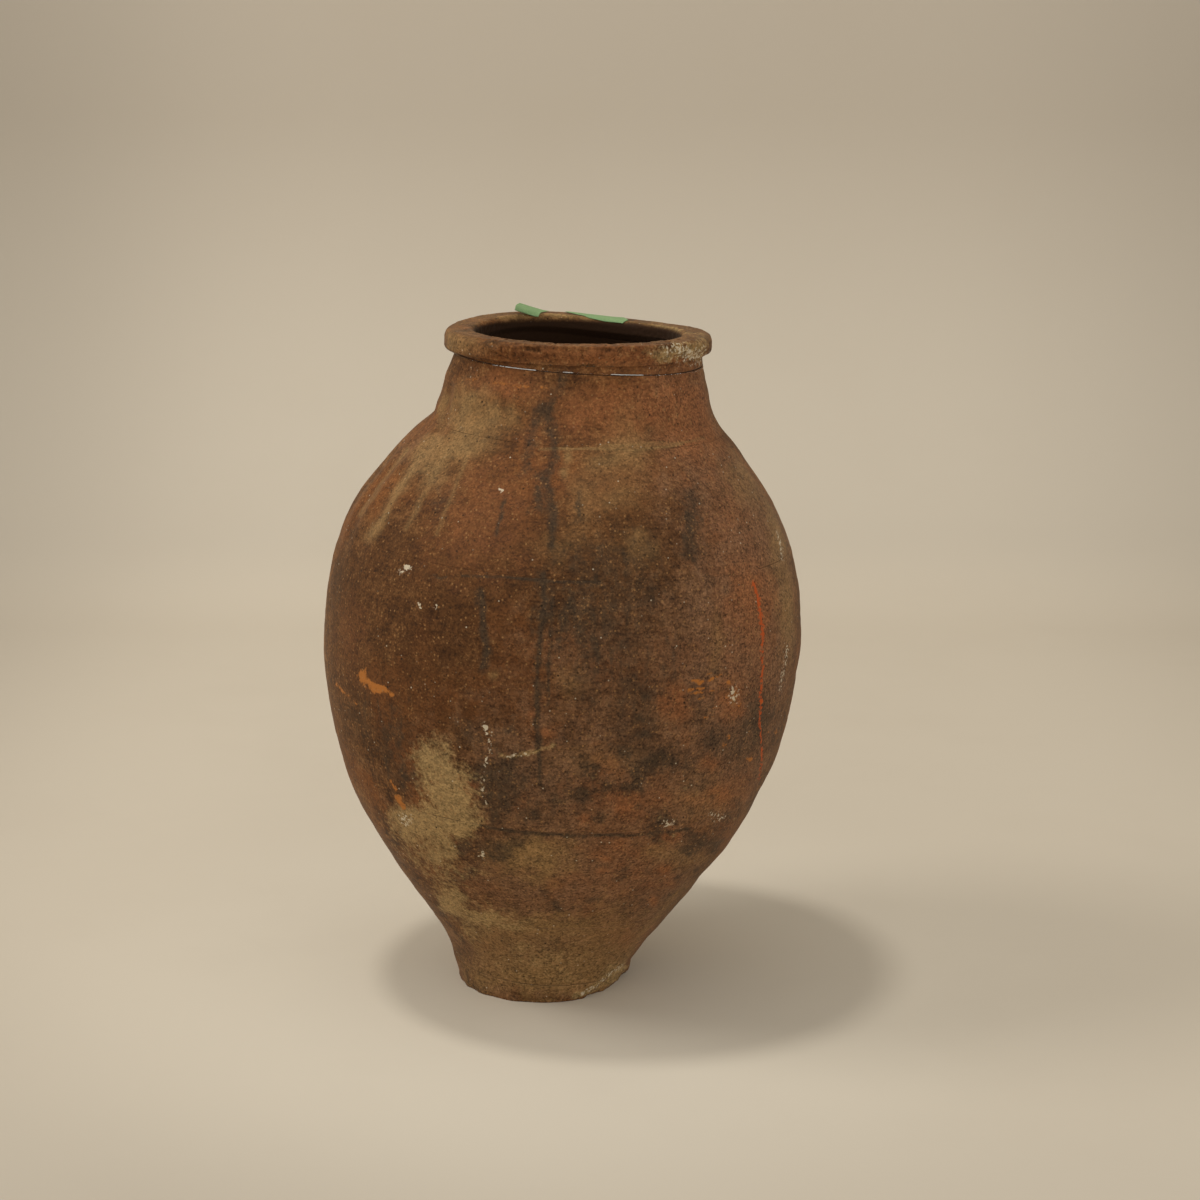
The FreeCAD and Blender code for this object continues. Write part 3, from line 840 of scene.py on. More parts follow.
def rim_piece(material):
    """The visible form of the rim: twisted, and rough where its lip is worn."""
    azimuths, points, normals = rim_points()
    _, azimuth, level = to_jar(points)
    joint = PROFILE["outer joints"][-1]
    free = smooth(*RIM_FREE_RISES, level - joint)
    across, down = pixels(points)
    pitted = marked(points, across, down, RIM_PITTED, 900) * smooth(*RIM_FRONT_STEP, -np.sin(azimuth))
    hollow = pitted * smooth(0.1, 0.9, rough(points, HOLLOW_SIZE, 79))
    relief = ROUGH_DEPTH * pitted * (rough(points, ROUGH_SIZE, 71) - 0.5) - HOLLOW_DEPTH * hollow
    turned = np.degrees(azimuth)
    calm = smooth(*CALM_AZIMUTHS[:2], turned) * (1 - smooth(*CALM_AZIMUTHS[2:], turned))
    relief = relief + (1 - CALM_SHARE * calm) * GRAIN_DEPTH * rough(points, GRAIN_SIZE, 73, 2)
    relief = relief + WOBBLE * RIM_WOBBLE_SHARE * rough(points, RIM_WOBBLE_SIZE, 77, 2)
    points = points + normals * (relief * free)[..., None]
    radius, azimuth, level = to_jar(points)
    crest = level.max(axis=1, keepdims=True)
    worn = marked(points, across, down, RIM_WORN, 910) * smooth(*RIM_FRONT_STEP, -np.sin(azimuth))
    worn = WORN_SHARE * worn * smooth(*WORN_DROPS, crest - level)
    radius = radius - worn * np.maximum(radius - outer_radius(joint), 0)
    wall = outer_radius(joint) - inner_radius(joint)
    share = np.clip((radius - inner_radius(joint)) / wall, 0, 1)
    neck = swell(azimuths[:, None], np.full((1, 2), joint))[:, :1]
    points = from_jar(radius + share * neck, azimuth, level + twist_at(azimuth) * free)
    piece = ring_piece("rim_roll_clay", points, section_lengths(points[0]), material)
    # Painted shade: the hollows of the rim's worn front are kept to be darkened
    store(piece.data, "hollow", hollow.ravel())
    return piece, points


SLAB_COLUMNS = 420
SLAB_SIDE_ROWS = 14
SLAB_FACE_ROWS = 6
EDGE_WEAR = 1.6 * MM
CHIP_MOST = 4.5 * MM
CHIP_LEAST = CHIP_MOST / 4
CHIP_ROUGH = 1.0 * MM
CHIP_GRAIN = 9 * MM
WEAR_SIZE = 12 * MM
WEAR_STEP = (0, 0.3)
SLAB_MARGIN_SHARE = 0.05


def slab_piece(material):
    """The visible form of the base disc, with its chip and its worn lower edge."""
    tree, _ = search_tree(["base_slab"])
    azimuths = columns(SLAB_COLUMNS)
    top = PROFILE["outer joints"][0] - HALF_SLIP
    ground_radius = outer_radius(PROFILE_STEP)
    shares = np.linspace(0, 1, SLAB_SIDE_ROWS)
    side = np.zeros((SLAB_COLUMNS, SLAB_SIDE_ROWS, 3))
    for column, azimuth in enumerate(azimuths):
        bottom = ground_radius * math.cos(azimuth) * math.tan(LEAN) + PROFILE_STEP
        for row, share in enumerate(shares):
            level = bottom + share * (top - PROFILE_STEP - bottom)
            start = Vector(from_jar(FAR, azimuth, level))
            way = (Vector(from_jar(0.0, azimuth, level)) - start).normalized()
            hit, _, _, _ = tree.ray_cast(start, way)
            side[column, row] = hit
    radius, azimuth, level = to_jar(side)
    whole = outer_radius(level)
    chipped = np.clip(whole - radius, 0, CHIP_MOST)
    broken = smooth(CHIP_LEAST, CHIP_MOST, chipped)
    radius = whole - chipped - CHIP_ROUGH * broken * (1 + rough(side, CHIP_GRAIN, 83))
    worn = EDGE_WEAR * (1 - smooth(*WEAR_STEP, shares)) * (0.7 + 0.6 * rough(side, WEAR_SIZE, 81, 2))
    radius = radius + swell(azimuths[:, None], level[:1]) * shares - worn
    side = from_jar(radius, azimuth, level)
    side[:, 0, 2] = 0
    inward = np.linspace(1, 0, SLAB_FACE_ROWS + 1)[1:-1]
    middle_top = from_jar(0.0, 0.0, top)
    middle_ground = np.array((FOOT[0], FOOT[1], 0.0))
    upper = middle_top + (side[:, -1:] - middle_top) * inward[None, :, None]
    lower = middle_ground + (side[:, :1] - middle_ground) * inward[::-1][None, :, None]
    grid = np.concatenate([lower, side, upper], axis=1)
    ends = [middle_ground, middle_top]
    return capped_piece("base_slab_clay", grid, ends, SLAB_MARGIN_SHARE, material)


SLIP_RECESS = 1.5 * MM
SLIP_COLUMNS = 360
SLIP_SHARES = np.array((0, 0.33, 0.66, 1, 1, 0.66, 0.33, 0))
SLIP_SIDES = HALF_SLIP * np.array((1, 1, 1, 1, -1, -1, -1, -1))


def slip_piece(material):
    """The slip in all the joints, held back from both faces of the wall."""
    azimuth = columns(SLIP_COLUMNS)[:, None]
    pieces = []
    for outer_level, inner_level in zip(PROFILE["outer joints"], PROFILE["inner joints"]):
        start = outer_radius(outer_level) - SLIP_RECESS
        end = inner_radius(inner_level) + SLIP_RECESS
        level = outer_level + SLIP_SHARES * (inner_level - outer_level) + SLIP_SIDES
        radius = start + SLIP_SHARES * (end - start)
        out = swell(azimuth, np.full((1, 2), outer_level))[:, :1]
        points = from_jar(radius + (1 - SLIP_SHARES) * out, azimuth, level[None, :])
        lengths = section_lengths(np.stack([radius, level], axis=-1))
        pieces.append(ring_piece(f"slip_{len(pieces)}", points, lengths, material))
    return merged("luting_slip_rings", pieces)


def merged(name, pieces):
    """Several pieces as one, with their layouts stacked side by side."""
    for number, piece in enumerate(pieces):
        layer = piece.data.uv_layers["OFBake"].data
        flat = np.zeros(len(layer) * 2, np.float32)
        layer.foreach_get("uv", flat)
        flat = flat.reshape(-1, 2)
        flat[:, 1] = (number + flat[:, 1]) / len(pieces)
        layer.foreach_set("uv", flat.ravel())
    with bpy.context.temp_override(active_object=pieces[0], selected_editable_objects=pieces):
        bpy.ops.object.join()
    pieces[0].name = name
    return pieces[0]


# Line and tapes

LINE_RADIUS = 0.5 * MM
LINE_SIDES = 8
LINE_STEPS = 900
LINE_SIDEWAYS = np.array((0.03, 0.05, 1.0))
LINE_STANDOFF = 0.3 * MM
LINE_BRIDGE = 1.0 * MM
LINE_SLACK = 0.5 * MM
LINE_HOLD_SPACING = 50 * MM
LINE_RISE = 3.0 * MM
LINE_RISE_AZIMUTH = -85
LINE_RISE_SPREAD = 45
KNOT_AZIMUTH = 70
KNOT_LENGTH = 6 * MM
KNOT_RADIUS = 1.1 * MM
KNOT_TURNS = 3
KNOT_STEPS = 160
KNOT_TAIL = 9 * MM
KNOT_TAIL_SHARE = 0.8
KNOT_DROOP = 3 * MM
KNOT_MARGIN_SHARE = 0.02
LINE_NEAR_FADE = 0.2
# Painted glints on the nylon line, in the form of the stains: whiter, rougher, less clear stretches that
# stand in for reflections
PAINTED_GLINTS = [
    ([(494, 366), (515, 368.5), (533, 370)], 4, 1.0),
    (569, 372.5, 7, 4, 0.9),
    ([(614, 375), (630, 375), (642, 374.5)], 4, 1.0),
]


def tube(path, closed):
    """Rings of points round a path."""
    if closed:
        ahead = np.roll(path, -1, axis=0) - np.roll(path, 1, axis=0)
    else:
        ahead = np.gradient(path, axis=0)
    ahead = ahead / np.linalg.norm(ahead, axis=1, keepdims=True)
    across = np.cross(ahead, LINE_SIDEWAYS)
    across = across / np.linalg.norm(across, axis=1, keepdims=True)
    rise = np.cross(across, ahead)
    turn = np.linspace(0, 2 * math.pi, LINE_SIDES, endpoint=False)
    ring = across[:, None, :] * np.cos(turn)[None, :, None] + rise[:, None, :] * np.sin(turn)[None, :, None]
    return path[:, None, :] + LINE_RADIUS * ring


def line_ring(azimuth, level):
    """Radius and level of the line's middle, which follows the neck and dips a little between holds."""
    levels = level + LINE_RISE * bell(turn_between(azimuth, LINE_RISE_AZIMUTH) / LINE_RISE_SPREAD)
    levels = levels - LINE_SLACK * np.abs(noise(round_place(azimuth, levels), LINE_HOLD_SPACING, 91))
    out = swell(azimuth[:, None], np.full((1, 2), level))[:, 0]
    radius = outer_radius(levels) + np.maximum(out, -LINE_BRIDGE) + LINE_RADIUS + LINE_STANDOFF
    return radius, levels


def line_piece(material):
    """The nylon line, drawn tight round the neck and tied at the back."""
    _, _, levels = to_jar(read(frame["nodes"]["neck_line"].data.vertices, "co"))
    level = float(np.median(levels))
    azimuth = columns(LINE_STEPS)
    radius, levels = line_ring(azimuth, level)
    rings = tube(from_jar(radius, azimuth, levels), True)
    loop = ring_piece("neck_line_loop", rings, np.ones(LINE_SIDES), material)
    piece = merged("neck_line_loop", [loop, knot_piece(level, material)])
    places = read(piece.data.vertices, "co")
    near_side = smooth(0, LINE_NEAR_FADE, FOOT[1] - places[:, 1])
    # Stores the painted glints, on the near side only
    store(piece.data, "scuffed", near_side * marked(places, *pixels(places), PAINTED_GLINTS, 950))
    return piece


def knot_piece(level, material):
    """The knot: turns of line wound round the loop, and two cut tails that lie against the neck."""
    share = np.linspace(-1, 1, KNOT_STEPS)
    wound = smooth(1.0, KNOT_TAIL_SHARE, np.abs(share))
    coiled = np.clip(share / KNOT_TAIL_SHARE, -1, 1)
    turn = 2 * math.pi * KNOT_TURNS * coiled
    tail = np.maximum(np.abs(share) - KNOT_TAIL_SHARE, 0) / (1 - KNOT_TAIL_SHARE)
    along = KNOT_LENGTH / 2 * coiled + np.sign(share) * KNOT_TAIL * tail
    azimuth = math.radians(KNOT_AZIMUTH) + along / outer_radius(level)
    radius, levels = line_ring(azimuth, level)
    coil = KNOT_RADIUS * wound
    levels = levels + coil * np.sin(turn) - KNOT_DROOP * (1 - wound)
    path = from_jar(radius + coil + LINE_RADIUS + coil * np.cos(turn), azimuth, levels)
    grid = tube(path, False).transpose(1, 0, 2)
    return capped_piece("knot", grid, path[[0, -1]], KNOT_MARGIN_SHARE, material)


TAPE_THICKNESS = 0.3 * MM
TAPE_LIFT = 0.45 * MM
SHEET_FACE_SHARE = 0.48
SHEET_HALF_SHARE = 0.5
SHEET_EDGE_SHARES = (1.0, 0.985)


def sheet_piece(name, upper, lower, material):
    """A thin closed sheet from the grids of its two faces."""
    rows, steps = upper.shape[:2]
    count = rows * steps
    top = np.arange(count).reshape(rows, steps)
    face = laid(np.linspace(0, SHEET_FACE_SHARE, rows), np.linspace(0, 1, steps))
    back = face + (SHEET_HALF_SHARE, 0)
    edge = np.concatenate([top[:, 0], top[-1, 1:], top[-2::-1, -1], top[0, -2::-1]])[::-1]
    band = np.stack([edge, edge + count], axis=-1)
    strip = laid(np.linspace(1, 0, len(edge)), SHEET_EDGE_SHARES)[..., ::-1]
    faces = [quads(top), quads(top + count)[..., ::-1], quads(band)]
    layouts = [quads(face), quads(back)[:, :, ::-1], quads(strip)]
    vertices = np.vstack([upper.reshape(-1, 3), lower.reshape(-1, 3)])
    return solid_piece(name, vertices, faces, layouts, material)


def grid_normals(points):
    """Normals of an open grid of points."""
    along = np.gradient(points, axis=0)
    across = np.gradient(points, axis=1)
    normals = np.cross(along, across)
    return normals / np.linalg.norm(normals, axis=-1, keepdims=True)


LONG_TAPE_STEPS = (72, 30)
SHORT_TAPE_STEPS = (44, 30)
CREPE_DEPTH = 0.06 * MM
CREPE_SIZE = 1.6 * MM
PUCKER = 0.5 * MM
PUCKER_SIZE = 9 * MM


def puckered(points, normals, seed):
    """Paper on an uneven surface: pushed off it in wide puckers and fine creping."""
    push = PUCKER * (1 + noise(points, PUCKER_SIZE, seed)) / 2
    push = push + CREPE_DEPTH * noise(points, CREPE_SIZE, seed + 1)
    return points + normals * (TAPE_LIFT + push)[..., None]


def over_rim(rim, azimuth, inward):
    """Points of the rim's surface by azimuth and by the way over it from its top to the inside."""
    points = np.zeros((*azimuth.shape, 3))
    column = np.interp(azimuth, columns(RIM_COLUMNS), np.arange(RIM_COLUMNS))
    half = RIM_ROWS // 2
    for place in np.ndindex(azimuth.shape):
        low = int(column[place])
        found = []
        for side in (low, low + 1):
            section = rim[side, :half]
            run = running(np.linalg.norm(np.diff(section, axis=0), axis=1))
            run = run - run[half // 2]
            found.append([np.interp(inward[place], run, section[:, axis]) for axis in range(3)])
        first, second = np.array(found)
        points[place] = first + (column[place] - low) * (second - first)
    return points


def upward_normals(points):
    """Normals of a grid of points that look up, and out of a fold."""
    normals = grid_normals(points)
    return normals if normals[:, :, 2].mean() > 0 else -normals


# Azimuths of the tapes' ends, how far their inner edges lie inside the rim's top along the way,
# and how far their ends lean, in degrees by share of the width from the outer edge
LONG_TAPE_AZIMUTHS = (97.0, 64.2)
LONG_TAPE_INSIDE = ((0.0, 0.2, 0.37, 0.65, 1.0), (-8 * MM, 8.5 * MM, 14.5 * MM, 16.4 * MM, 16.2 * MM))
LONG_TAPE_LEAN = ((0.0, 0.7, 1.0), (4.8, -0.9, 1.1))
SHORT_TAPE_AZIMUTHS = (113.8, 129.0)
SHORT_TAPE_INSIDE = ((0.0, 1.0), (16.9 * MM, 16.5 * MM))
SHORT_TAPE_LEAN = ((0.0, 1.0), (-8.0, 1.6))
SHORT_TAPE_LIFT = 9.6 * MM
SHORT_TAPE_STUCK_SHARE = 0.06
SHORT_TAPE_SPRING = 1.2
LONG_TAPE_SEED = 201
SHORT_TAPE_SEED = 211
TAPE_WIDTH = 24 * MM


def tape_base(rim, azimuths, inside, lean, steps):
    """A strip's grid on the rim: along it by across it, outer edge first."""
    along = np.linspace(0, 1, steps[0])[:, None]
    across = np.linspace(0, 1, steps[1])[None, :]
    azimuth = azimuths[0] + along * (azimuths[1] - azimuths[0]) + np.interp(across, *lean)
    inward = np.interp(along, *inside) - TAPE_WIDTH * (1 - across)
    return over_rim(rim, np.radians(azimuth), inward), along


def long_tape_piece(rim, material):
    """The long strip, laid along the rim and folded over its inner edge."""
    base, _ = tape_base(rim, LONG_TAPE_AZIMUTHS, LONG_TAPE_INSIDE, LONG_TAPE_LEAN, LONG_TAPE_STEPS)
    normals = upward_normals(base)
    lower = puckered(base, normals, LONG_TAPE_SEED)
    return sheet_piece("label_tape_long_paper", lower + normals * TAPE_THICKNESS, lower, material)


def short_tape_piece(rim, material):
    """The short strip, stuck down at one end, with the other sprung up."""
    base, along = tape_base(rim, SHORT_TAPE_AZIMUTHS, SHORT_TAPE_INSIDE, SHORT_TAPE_LEAN, SHORT_TAPE_STEPS)
    normals = upward_normals(base)
    free = np.maximum(along - SHORT_TAPE_STUCK_SHARE, 0) / (1 - SHORT_TAPE_STUCK_SHARE)
    lower = puckered(base, normals, SHORT_TAPE_SEED)
    lower = lower + (SHORT_TAPE_LIFT * free**SHORT_TAPE_SPRING)[..., None] * np.array((0, 0, 1))
    upper = lower + upward_normals(lower) * TAPE_THICKNESS
    return sheet_piece("label_tape_short_paper", upper, lower, material)


# Materials


class Shader:
    """The node tree of a material or of the world, with short ways to add nodes to it."""

    def __init__(self, owner, surface="Principled BSDF", place="Object"):
        owner.use_nodes = True
        self.owner = owner
        self.tree = owner.node_tree
        self.surface = self.tree.nodes[surface]
        self.place = self.add("TexCoord", place, {})

    def put(self, socket, value):
        """A link from another node, or a constant."""
        if isinstance(value, bpy.types.NodeSocket):
            self.tree.links.new(value, socket)
        elif isinstance(value, tuple):
            socket.default_value = (*value, 1.0) if len(socket.default_value) == 4 else value
        else:
            socket.default_value = value

    def add(self, kind, output, inputs, **settings):
        """One output of a new node with these inputs and settings."""
        node = self.tree.nodes.new("ShaderNode" + kind)
        for name, setting in settings.items():
            setattr(node, name, setting)
        for socket, value in inputs.items():
            self.put(node.inputs[socket], value)
        return node.outputs[output]

    def look(self, values):
        """Puts values on the surface's own sockets."""
        for socket, value in values.items():
            self.put(self.surface.inputs[socket], value)

    def noise(self, size, detail=4.0, roughness=0.6, scale=None):
        """Noise of a size, or noise scaled along the axes of the jar's upright frame."""
        place = self.place
        if scale:
            turned = {"Vector": place, "Rotation": (0, -LEAN, 0), "Scale": scale}
            place = self.add("Mapping", "Vector", turned)
        inputs = {"Vector": place, "Scale": 1 / size, "Detail": detail, "Roughness": roughness}
        return self.add("TexNoise", "Fac", inputs)

    def cells(self, size):
        """Distance from the middle of scattered cells, and a random value for each cell."""
        distance = self.add("TexVoronoi", "Distance", {"Vector": self.place, "Scale": 1 / size})
        return distance, self.add("SeparateColor", "Red", {"Color": distance.node.outputs["Color"]})

    def dots(self, size, outside, inside, least, most):
        """Dots in the middles of cells, fading out by distance, and shown by each cell's random value."""
        distance, draw = self.cells(size)
        return self.times(self.step(outside, inside, distance), self.step(least, most, draw))

    def layer(self, name):
        return self.add("Attribute", "Fac", {}, attribute_name=name)

    def step(self, low, high, value, start=0.0, end=1.0):
        """A smooth step of a value between low and high."""
        inputs = {"Value": value, "From Min": low, "From Max": high, "To Min": start, "To Max": end}
        return self.add("MapRange", "Result", inputs, interpolation_type="SMOOTHSTEP")

    def math(self, operation, first, second=0.0):
        return self.add("Math", "Value", {0: first, 1: second}, operation=operation)

    def times(self, first, second):
        return self.math("MULTIPLY", first, second)

    def mix(self, share, first, second):
        return self.add("Mix", 2, {0: share, 6: first, 7: second}, data_type="RGBA")

    def bump(self, height, strength, distance):
        inputs = {"Height": height, "Strength": strength, "Distance": distance}
        self.look({"Normal": self.add("Bump", "Normal", inputs)})

    def scaled(self, colour, factor):
        """A colour made darker or lighter by a factor."""
        return self.add("VectorMath", "Vector", {0: colour, "Scale": factor}, operation="SCALE")

    def total(self, *parts):
        """The sum of values, each times its share."""
        result = 0.0
        for value, share in parts:
            result = self.math("ADD", self.times(value, share), result)
        return result

    def mottled(self, layer, grain, spread, soft, most):
        """A stain whose painted cover breaks up into grain at its edges, and how much it hides at most."""
        shaken = self.times(self.math("SUBTRACT", grain, 0.5), spread)
        cover = self.math("ADD", self.layer(layer), shaken)
        shown = self.step(0.5 - soft, 0.5 + soft, cover, 0.0, most)
        return self.times(shown, self.step(0.0, 0.2, self.layer(layer)))


UMBER = (0.112, 0.0455, 0.0138)
DARK_UMBER = (0.056, 0.0225, 0.0068)
TAN = (0.205, 0.0960, 0.0345)
RUSSET = (0.170, 0.0580, 0.0150)
CLAY_RED = (0.230, 0.0840, 0.0290)
BURNT_AND_SHADE_TONE = (0.068, 0.0265, 0.0080)
DUST_AND_LIT_TONE = (0.166, 0.0870, 0.0455)
ASH = (0.046, 0.0300, 0.0165)
EARTH_AND_LIT_TONE = (0.240, 0.1360, 0.0500)
LIMED = (0.300, 0.1920, 0.0770)
OCHRE = (0.300, 0.1500, 0.0520)
FLESH = (0.400, 0.1400, 0.0270)
DRIP_RED = (0.420, 0.0750, 0.0140)
CHALK_AND_HIGHLIGHT_TONE = (0.560, 0.4600, 0.3100)
SHADE = (0.026, 0.0140, 0.0058)
INSIDE_SOOT_AND_SHADE = (0.030, 0.0130, 0.0050)
DUSTY = (0.85, 0.66, 0.46)

# Noises of the clay: size, detail, roughness, and the scales along the jar's axes
CLAY_NOISES = {
    "cloud": (110 * MM, 3.0, 0.5),
    "patch": (30 * MM, 4.0, 0.7),
    "grain": (9 * MM, 3.0, 0.75),
    "fine": (3.4 * MM, 1.0, 0.6),
    "speck": (2.4 * MM, 1.0, 0.5, (1.0, 1.0, 0.8)),
    "drawn": (9 * MM, 3.0, 0.6, (1.0, 1.0, 0.12)),
    "wiped": (3.0 * MM, 2.0, 0.6, (0.16, 0.16, 1.0)),
}
CRUMB_SIZE = 1.9 * MM
LUMP_SIZE = 4.4 * MM

# Dots on the clay: size of their cells, distances where they fade, and draws where they show
GRIT = (9 * MM, 0.13, 0.06, 0.52, 1.0)
HOLES = (17 * MM, 0.10, 0.05, 0.80, 0.84)
FLECKS = (5 * MM, 0.30, 0.16, 0.52, 0.95)
POCKS = (6.5 * MM, 0.26, 0.12, 0.55, 0.95)
CLAY_BUMP = 1.2 * MM


def clay_material():
    """Weathered terracotta under soot, earth, lime and small scars, with painted light and shade: lit and
    glinting places lighter, and hollows, creases and the inner wall darker.
    """
    shader = Shader(bpy.data.materials.new("weathered_terracotta"))
    cloud, patch, grain, fine, speck, drawn, wiped = [shader.noise(*row) for row in CLAY_NOISES.values()]
    blend = shader.total((patch, 0.40), (grain, 0.28), (fine, 0.18), (wiped, 0.14))
    sooted = shader.total((grain, 0.6), (drawn, 0.4))
    limed = shader.total((grain, 0.55), (patch, 0.25), (fine, 0.20))
    colour = shader.mix(shader.step(0.40, 0.51, blend), DARK_UMBER, UMBER)
    colour = shader.mix(shader.step(0.49, 0.62, blend), colour, TAN)
    colour = shader.mix(shader.step(0.48, 0.66, cloud, 0.0, 0.7), colour, RUSSET)
    colour = shader.mix(shader.step(0.52, 0.72, drawn, 0.0, 0.6), colour, DARK_UMBER)
    # Brown tone and painted shade in the crease, the flutes and along the left edge
    colour = shader.mix(shader.mottled("brown", blend, 2.2, 0.6, 0.7), colour, BURNT_AND_SHADE_TONE)
    # Dust and painted light, lightening the lower body, the foot and the right side
    colour = shader.mix(shader.mottled("dust", blend, 2.2, 0.6, 0.75), colour, DUST_AND_LIT_TONE)
    colour = shader.mix(shader.mottled("red", blend, -0.9, 0.5, 0.85), colour, CLAY_RED)
    # Buff earth and painted light: the lit rim top, the flute sheen, the lit right edge and the bounce-lit
    # lower body
    colour = shader.mix(shader.mottled("buff", blend, -0.7, 0.5, 0.88), colour, EARTH_AND_LIT_TONE)
    # Soot, and a little painted shade on the left edge
    colour = shader.mix(shader.mottled("soot", sooted, 1.9, 0.4, 0.85), colour, ASH)
    colour = shader.mix(shader.mottled("lime", limed, 2.0, 0.3, 0.9), colour, LIMED)
    crowded = shader.step(0.35, 0.62, patch)
    light_speck = shader.times(shader.step(0.58, 0.74, speck, 0.0, 0.4), crowded)
    colour = shader.mix(light_speck, colour, OCHRE)
    shaded = shader.step(0.68, 0.40, cloud)
    dark_speck = shader.times(shader.step(0.38, 0.25, speck, 0.0, 0.4), shaded)
    colour = shader.mix(dark_speck, colour, SHADE)
    _, crumb = shader.cells(CRUMB_SIZE)
    _, lump = shader.cells(LUMP_SIZE)
    sparkle = shader.total((crumb, 0.56), (lump, 0.16), (fine, 0.36), (grain, 0.34), (patch, 0.44))
    sparkle = shader.total((sparkle, 1.0), (wiped, 0.50), (drawn, 0.25))
    gritty = shader.times(shader.math("SUBTRACT", crumb, 0.5), shader.layer("dust"))
    lumpy = shader.times(shader.math("SUBTRACT", lump, 0.5), shader.layer("dust"))
    sparkle = shader.total((sparkle, 1.0), (gritty, 0.30), (lumpy, 0.22))
    colour = shader.scaled(colour, shader.math("SUBTRACT", sparkle, 0.305))
    colour = shader.mix(shader.mottled("orange", grain, 1.8, 0.2, 0.9), colour, FLESH)
    colour = shader.mix(shader.mottled("drip", fine, 2.2, 0.2, 0.95), colour, DRIP_RED)
    # Chalk, and painted highlights on the blister and the right shoulder's edge
    colour = shader.mix(shader.mottled("white", fine, 2.6, 0.2, 0.9), colour, CHALK_AND_HIGHLIGHT_TONE)
    hole = shader.dots(*HOLES)
    colour = shader.mix(shader.times(shader.dots(*GRIT), 0.8), colour, CHALK_AND_HIGHLIGHT_TONE)
    colour = shader.mix(shader.times(shader.dots(*FLECKS), 0.7), colour, OCHRE)
    colour = shader.mix(shader.times(shader.dots(*POCKS), 0.75), colour, SHADE)
    colour = shader.mix(hole, colour, SHADE)
    # Painted shade in the rim's hollows
    colour = shader.mix(shader.step(0.2, 0.9, shader.layer("hollow"), 0.0, 0.45), colour, SHADE)
    # Soot and painted shade darken the inner wall
    colour = shader.mix(shader.layer("inside"), colour, INSIDE_SOOT_AND_SHADE)
    shader.look({"Base Color": colour, "Roughness": shader.step(0.3, 0.7, blend, 0.66, 0.92)})
    shader.look({"Specular IOR Level": 0.1, "Sheen Weight": 0.12})
    shader.look({"Sheen Roughness": 0.35, "Sheen Tint": DUSTY})
    height = shader.total((grain, 0.7), (fine, 0.5), (speck, 0.35), (hole, -1.0))
    shader.bump(height, 0.45, CLAY_BUMP)
    return shader.owner


SLIP_GRAIN_SIZE = 4 * MM
SLIP_BUMP = 0.5 * MM


def slip_material():
    """Darkened slip."""
    shader = Shader(bpy.data.materials.new("dark_slip"))
    grain = shader.noise(SLIP_GRAIN_SIZE)
    shader.look({"Base Color": shader.mix(grain, ASH, DARK_UMBER), "Roughness": 0.9})
    shader.bump(grain, 0.4, SLIP_BUMP)
    return shader.owner


NYLON_CLEAR = (0.80, 0.76, 0.68)
NYLON_GLINT_TONE = (0.66, 0.64, 0.60)
GLINT_BREAK_SIZE = 3 * MM


def nylon_material():
    """Clear fishing line, whitened in a few stretches by painted glints."""
    shader = Shader(bpy.data.materials.new("clear_nylon"))
    # Painted glints: whiter, rougher and less clear where marked
    scuffed = shader.mottled("scuffed", shader.noise(GLINT_BREAK_SIZE), 1.0, 0.2, 1.0)
    shader.look({"Base Color": shader.mix(scuffed, NYLON_CLEAR, NYLON_GLINT_TONE), "IOR": 1.53})
    shader.look({"Roughness": shader.step(0.0, 1.0, scuffed, 0.08, 0.45)})
    shader.look({"Transmission Weight": shader.step(0.0, 1.0, scuffed, 0.97, 0.15)})
    shader.look({"Alpha": shader.step(0.0, 1.0, scuffed, 0.14, 0.9)})
    return shader.owner


TAPE_GREEN = (0.15, 0.25, 0.090)
TAPE_PALE = (0.22, 0.33, 0.135)
FIBRE_NOISE = (2.2 * MM, 4.0, 0.7)
CREPE_NOISE = (1.1 * MM, 2.0, 0.5, (0.25, 1.0, 1.0))
TAPE_BUMP = 0.3 * MM


def tape_material():
    """Green creped paper tape."""
    shader = Shader(bpy.data.materials.new("green_paper_tape"))
    fibre = shader.noise(*FIBRE_NOISE)
    crepe = shader.noise(*CREPE_NOISE)
    shader.look({"Base Color": shader.mix(shader.step(0.3, 0.7, fibre), TAPE_GREEN, TAPE_PALE)})
    shader.look({"Roughness": shader.step(0.3, 0.7, fibre, 0.7, 0.9)})
    shader.bump(shader.math("ADD", crepe, shader.times(fibre, 0.5)), 0.5, TAPE_BUMP)
    return shader.owner


# Stage

# The floor and backdrop tones hold painted light: the backdrop is darker than the floor, and darker towards
# its top
FLOOR_TONE = (0.655, 0.575, 0.446)
WALL_TONE = (0.590, 0.521, 0.409)
WALL_TOP_TONE = (0.485, 0.424, 0.336)
SMUDGE_AND_FALLOFF_TONE = (0.45, 0.37, 0.27)
WALL_FADE_HEIGHTS = (0.10, 1.15)
SIDE_TONE = (0.30, 0.255, 0.195)

# Fades of the stage, which paint the falloff of light: where each starts and ends, and its shares there
SIDE_FADE = (0.7, 1.7, 0.0, 0.45)
FAR_FADE = (0.25, 0.75, 0.0, 0.32)
FRONT_FADE = (0.30, 0.85, 0.0, 0.18)
LEFT_FADE = (0.5, 1.3, 0.0, 0.42)
CORNER_FADE = (0.5, 1.2, 0.0, 0.25)

STAGE_HALF_WIDTH = 5.0
FLOOR_FRONT = -4.0
WALL_BACK = 2.6
SWEEP_RADIUS = 0.9
WALL_TOP = 4.5
SWEEP_STEPS = 24
SMUDGE_NOISE = (0.35, 5.0, 0.6)


